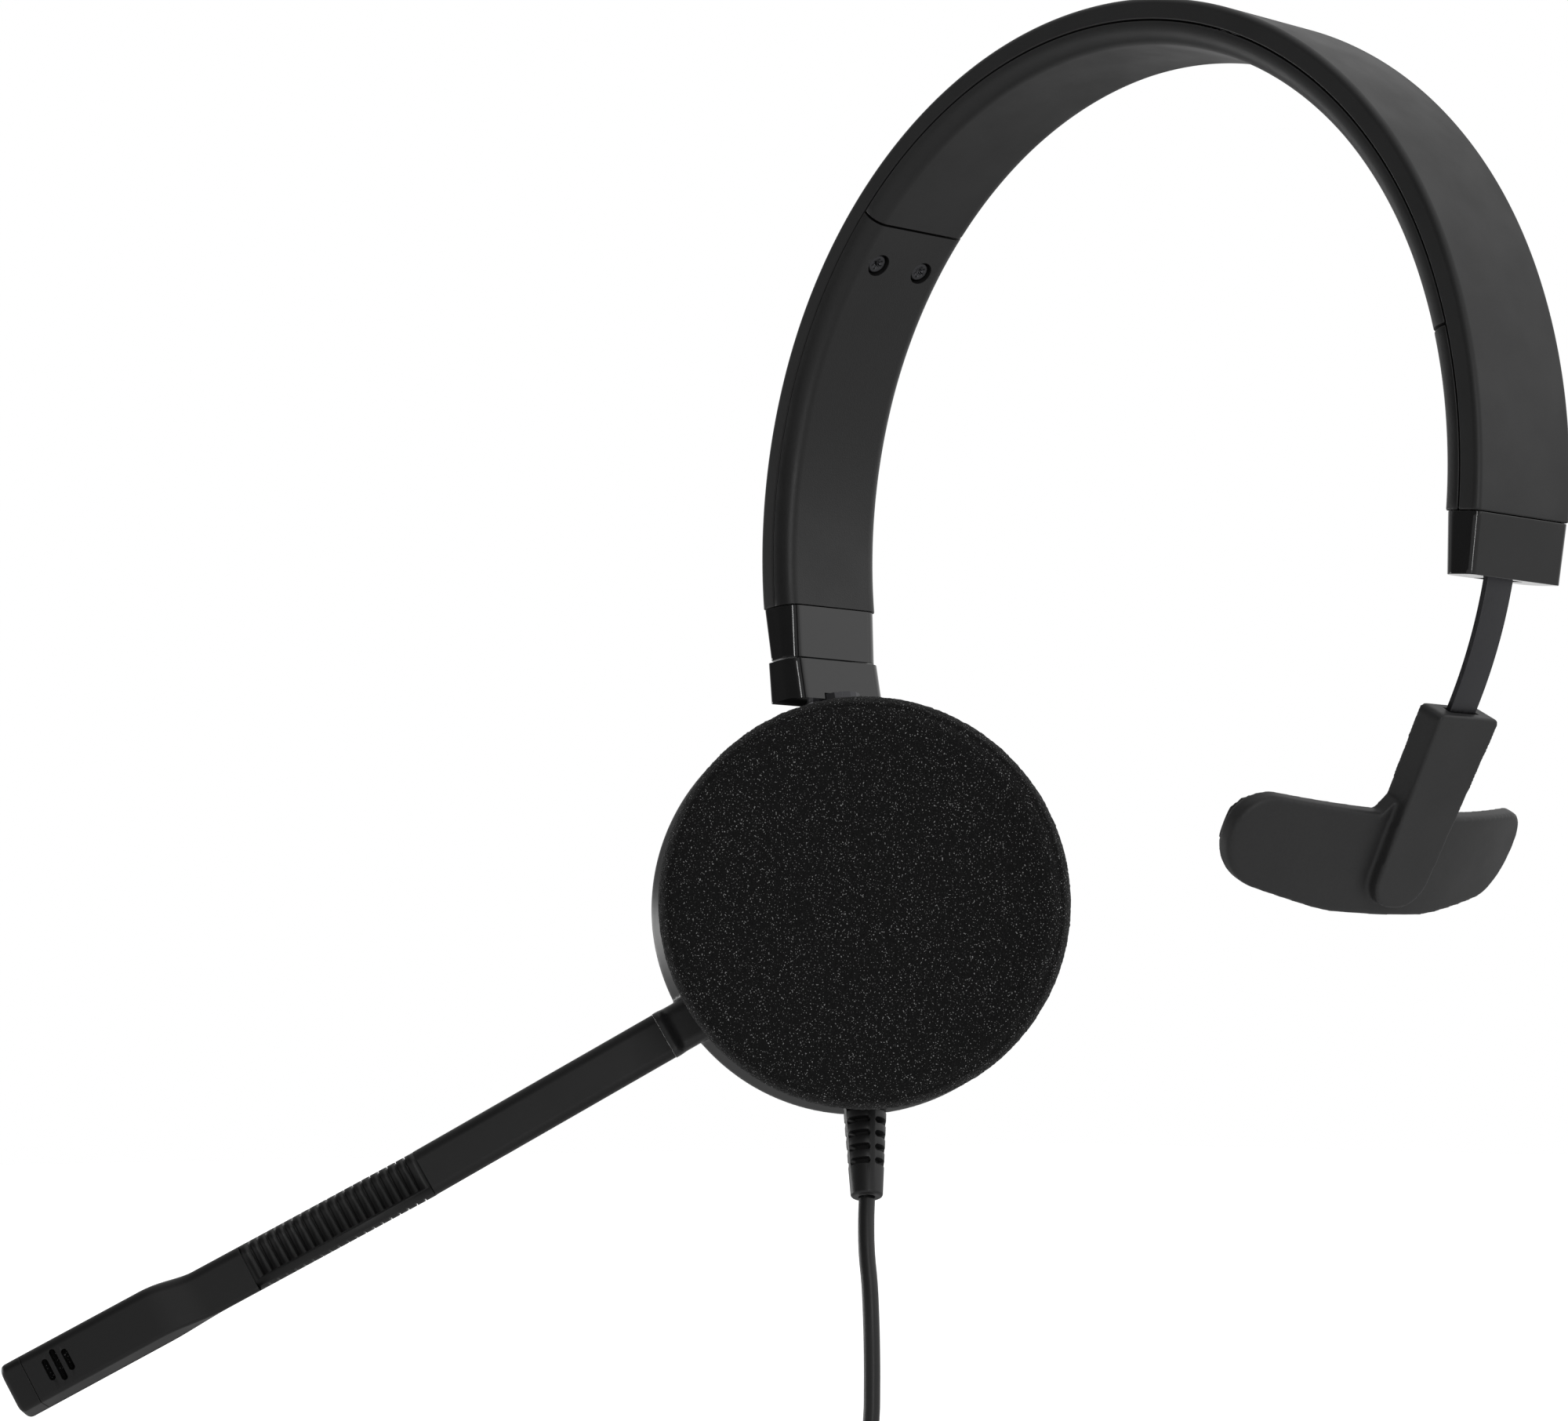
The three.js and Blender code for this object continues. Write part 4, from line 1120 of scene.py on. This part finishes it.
def plug_shell(place):
    """The plug's hollow steel shell, with two windows in each face."""
    half_width, half_depth = SOCKET_HALF
    outer = plate(box2d(half_width, -half_depth, half_depth, 0.4), SOCKET_END, SOCKET_START)
    shell = make("usb_shell", outer, steel, "cup", place, replaces=("plug_shell",))
    inner_half, inner_depth = half_width - SOCKET_WALL, half_depth - SOCKET_WALL
    hollow = plate(box2d(inner_half, -inner_depth, inner_depth, 0.3), SOCKET_END - 1.7, SOCKET_START - 1)
    windows = []
    for side in (-1, 1):
        for across in (-1, 1):
            left, right = across * 2.7 - 1.1, across * 2.7 + 1.1
            near, far = side * 1.5, side * 3
            windows.append(plate([(left, near), (right, near), (right, far), (left, far)], -31.5, -29.5))
    combine(shell, [hollow] + windows, "DIFFERENCE", place)
    return shell


def cord_pieces():
    """The strap round the coil, and the plug's two outer pieces."""
    place = (
        CUP
        @ Matrix.Translation((*PLUG_PLACE, CORD_LEVEL / MM))
        @ Matrix.Rotation(math.radians(-90), 4, "X")
    )
    return coil_tie(), plug_grip(place), plug_shell(place)


# ---------- studio ----------


def make_studio():
    """A world that is white to the camera and brighter on one side to the object."""
    world = bpy.data.worlds.new("studio")
    bpy.context.scene.world = world
    world.use_nodes = True
    tree = world.node_tree
    background = tree.nodes["Background"]
    direction = tree.nodes.new("ShaderNodeTexCoord")
    toward = tree.nodes.new("ShaderNodeVectorMath")
    toward.operation = "DOT_PRODUCT"
    toward.inputs[1].default_value = STUDIO_BRIGHT_SIDE
    tree.links.new(direction.outputs["Generated"], toward.inputs[0])
    level = remap(tree, toward.outputs["Value"], -0.5, 0.6, STUDIO_DIM, STUDIO_BRIGHT)
    tree.links.new(level, background.inputs["Strength"])
    background.inputs["Color"].default_value = (1, 1, 1, 1)
    bright = tree.nodes.new("ShaderNodeBackground")
    bright.inputs["Color"].default_value = (1, 1, 1, 1)
    bright.inputs["Strength"].default_value = 1.0
    path = tree.nodes.new("ShaderNodeLightPath")
    mix = tree.nodes.new("ShaderNodeMixShader")
    tree.links.new(path.outputs["Is Camera Ray"], mix.inputs["Fac"])
    tree.links.new(background.outputs["Background"], mix.inputs[1])
    tree.links.new(bright.outputs["Background"], mix.inputs[2])
    tree.links.new(mix.outputs["Shader"], tree.nodes["World Output"].inputs["Surface"])


def make_floor():
    """A pale floor, which looks white to the camera and lights the object less than it looks."""
    mesh = bpy.data.meshes.new("floor")
    corners = [(-1, -1), (1, -1), (1, 1), (-1, 1)]
    places = [(x * FLOOR_REACH, y * FLOOR_REACH, FLOOR_LEVEL) for x, y in corners]
    mesh.from_pydata(places, [], [(0, 1, 2, 3)])
    floor = bpy.data.objects.new("floor", mesh)
    bpy.context.scene.collection.objects.link(floor)
    pale, tree, shader = new_material("pale_floor", (0.9, 0.9, 0.9), 0.9, Emission_Color=(1, 1, 1, 1))
    grain = noise_at(tree, 400.0, 2.0)
    tree.links.new(tint(tree, grain.outputs["Fac"], (0.38,) * 3, (0.42,) * 3), shader.inputs["Base Color"])
    seen = tree.nodes.new("ShaderNodeLightPath")
    glow = remap(tree, seen.outputs["Is Camera Ray"], 0, 1, 0.22, 0.95)
    tree.links.new(glow, shader.inputs["Emission Strength"])
    mesh.materials.append(pale)


def softbox(name, azimuth, elevation, distance, size, power):
    direction = view_direction(azimuth, elevation)
    data = bpy.data.lights.new(name, "AREA")
    data.shape = "RECTANGLE"
    data.size, data.size_y = size
    data.energy = power
    light = bpy.data.objects.new(name, data)
    light.location = Vector(LIGHT_TARGET) + direction * distance
    light.rotation_euler = direction.to_track_quat("Z", "Y").to_euler()
    bpy.context.scene.collection.objects.link(light)


# ---------- the scene ----------

make_camera()
cord_piece, cord_exit = make_cord(cord_rubber)
headband()
sliders()
ear_cup()
boot = strain_relief()
boom_ring()
boom_arm()
boom_grip()
microphone()
temple_rest()
strap, usb_grip, usb_shell = cord_pieces()

INNER_NODES = {
    "spring_band": steel,
    "cup_detent_spring": steel,
    "rest_detent_spring": steel,
    "swivel_carrier": dark_steel,
    "driver": dark_steel,
    "driver_diaphragm": pad_rubber,
    "tilt_pin": steel,
    "circuit_board": circuit,
    "friction_ring": steel,
    "mic_capsule": brass,
    "mic_gasket": foam,
    "plug_tongue": satin,
}
for node, finish in INNER_NODES.items():
    for material_slot in frame["nodes"][node].material_slots:
        material_slot.material = finish
make_studio()
make_floor()
for box in SOFTBOXES:
    softbox(*box)
bpy.context.scene.view_settings.view_transform = "Standard"
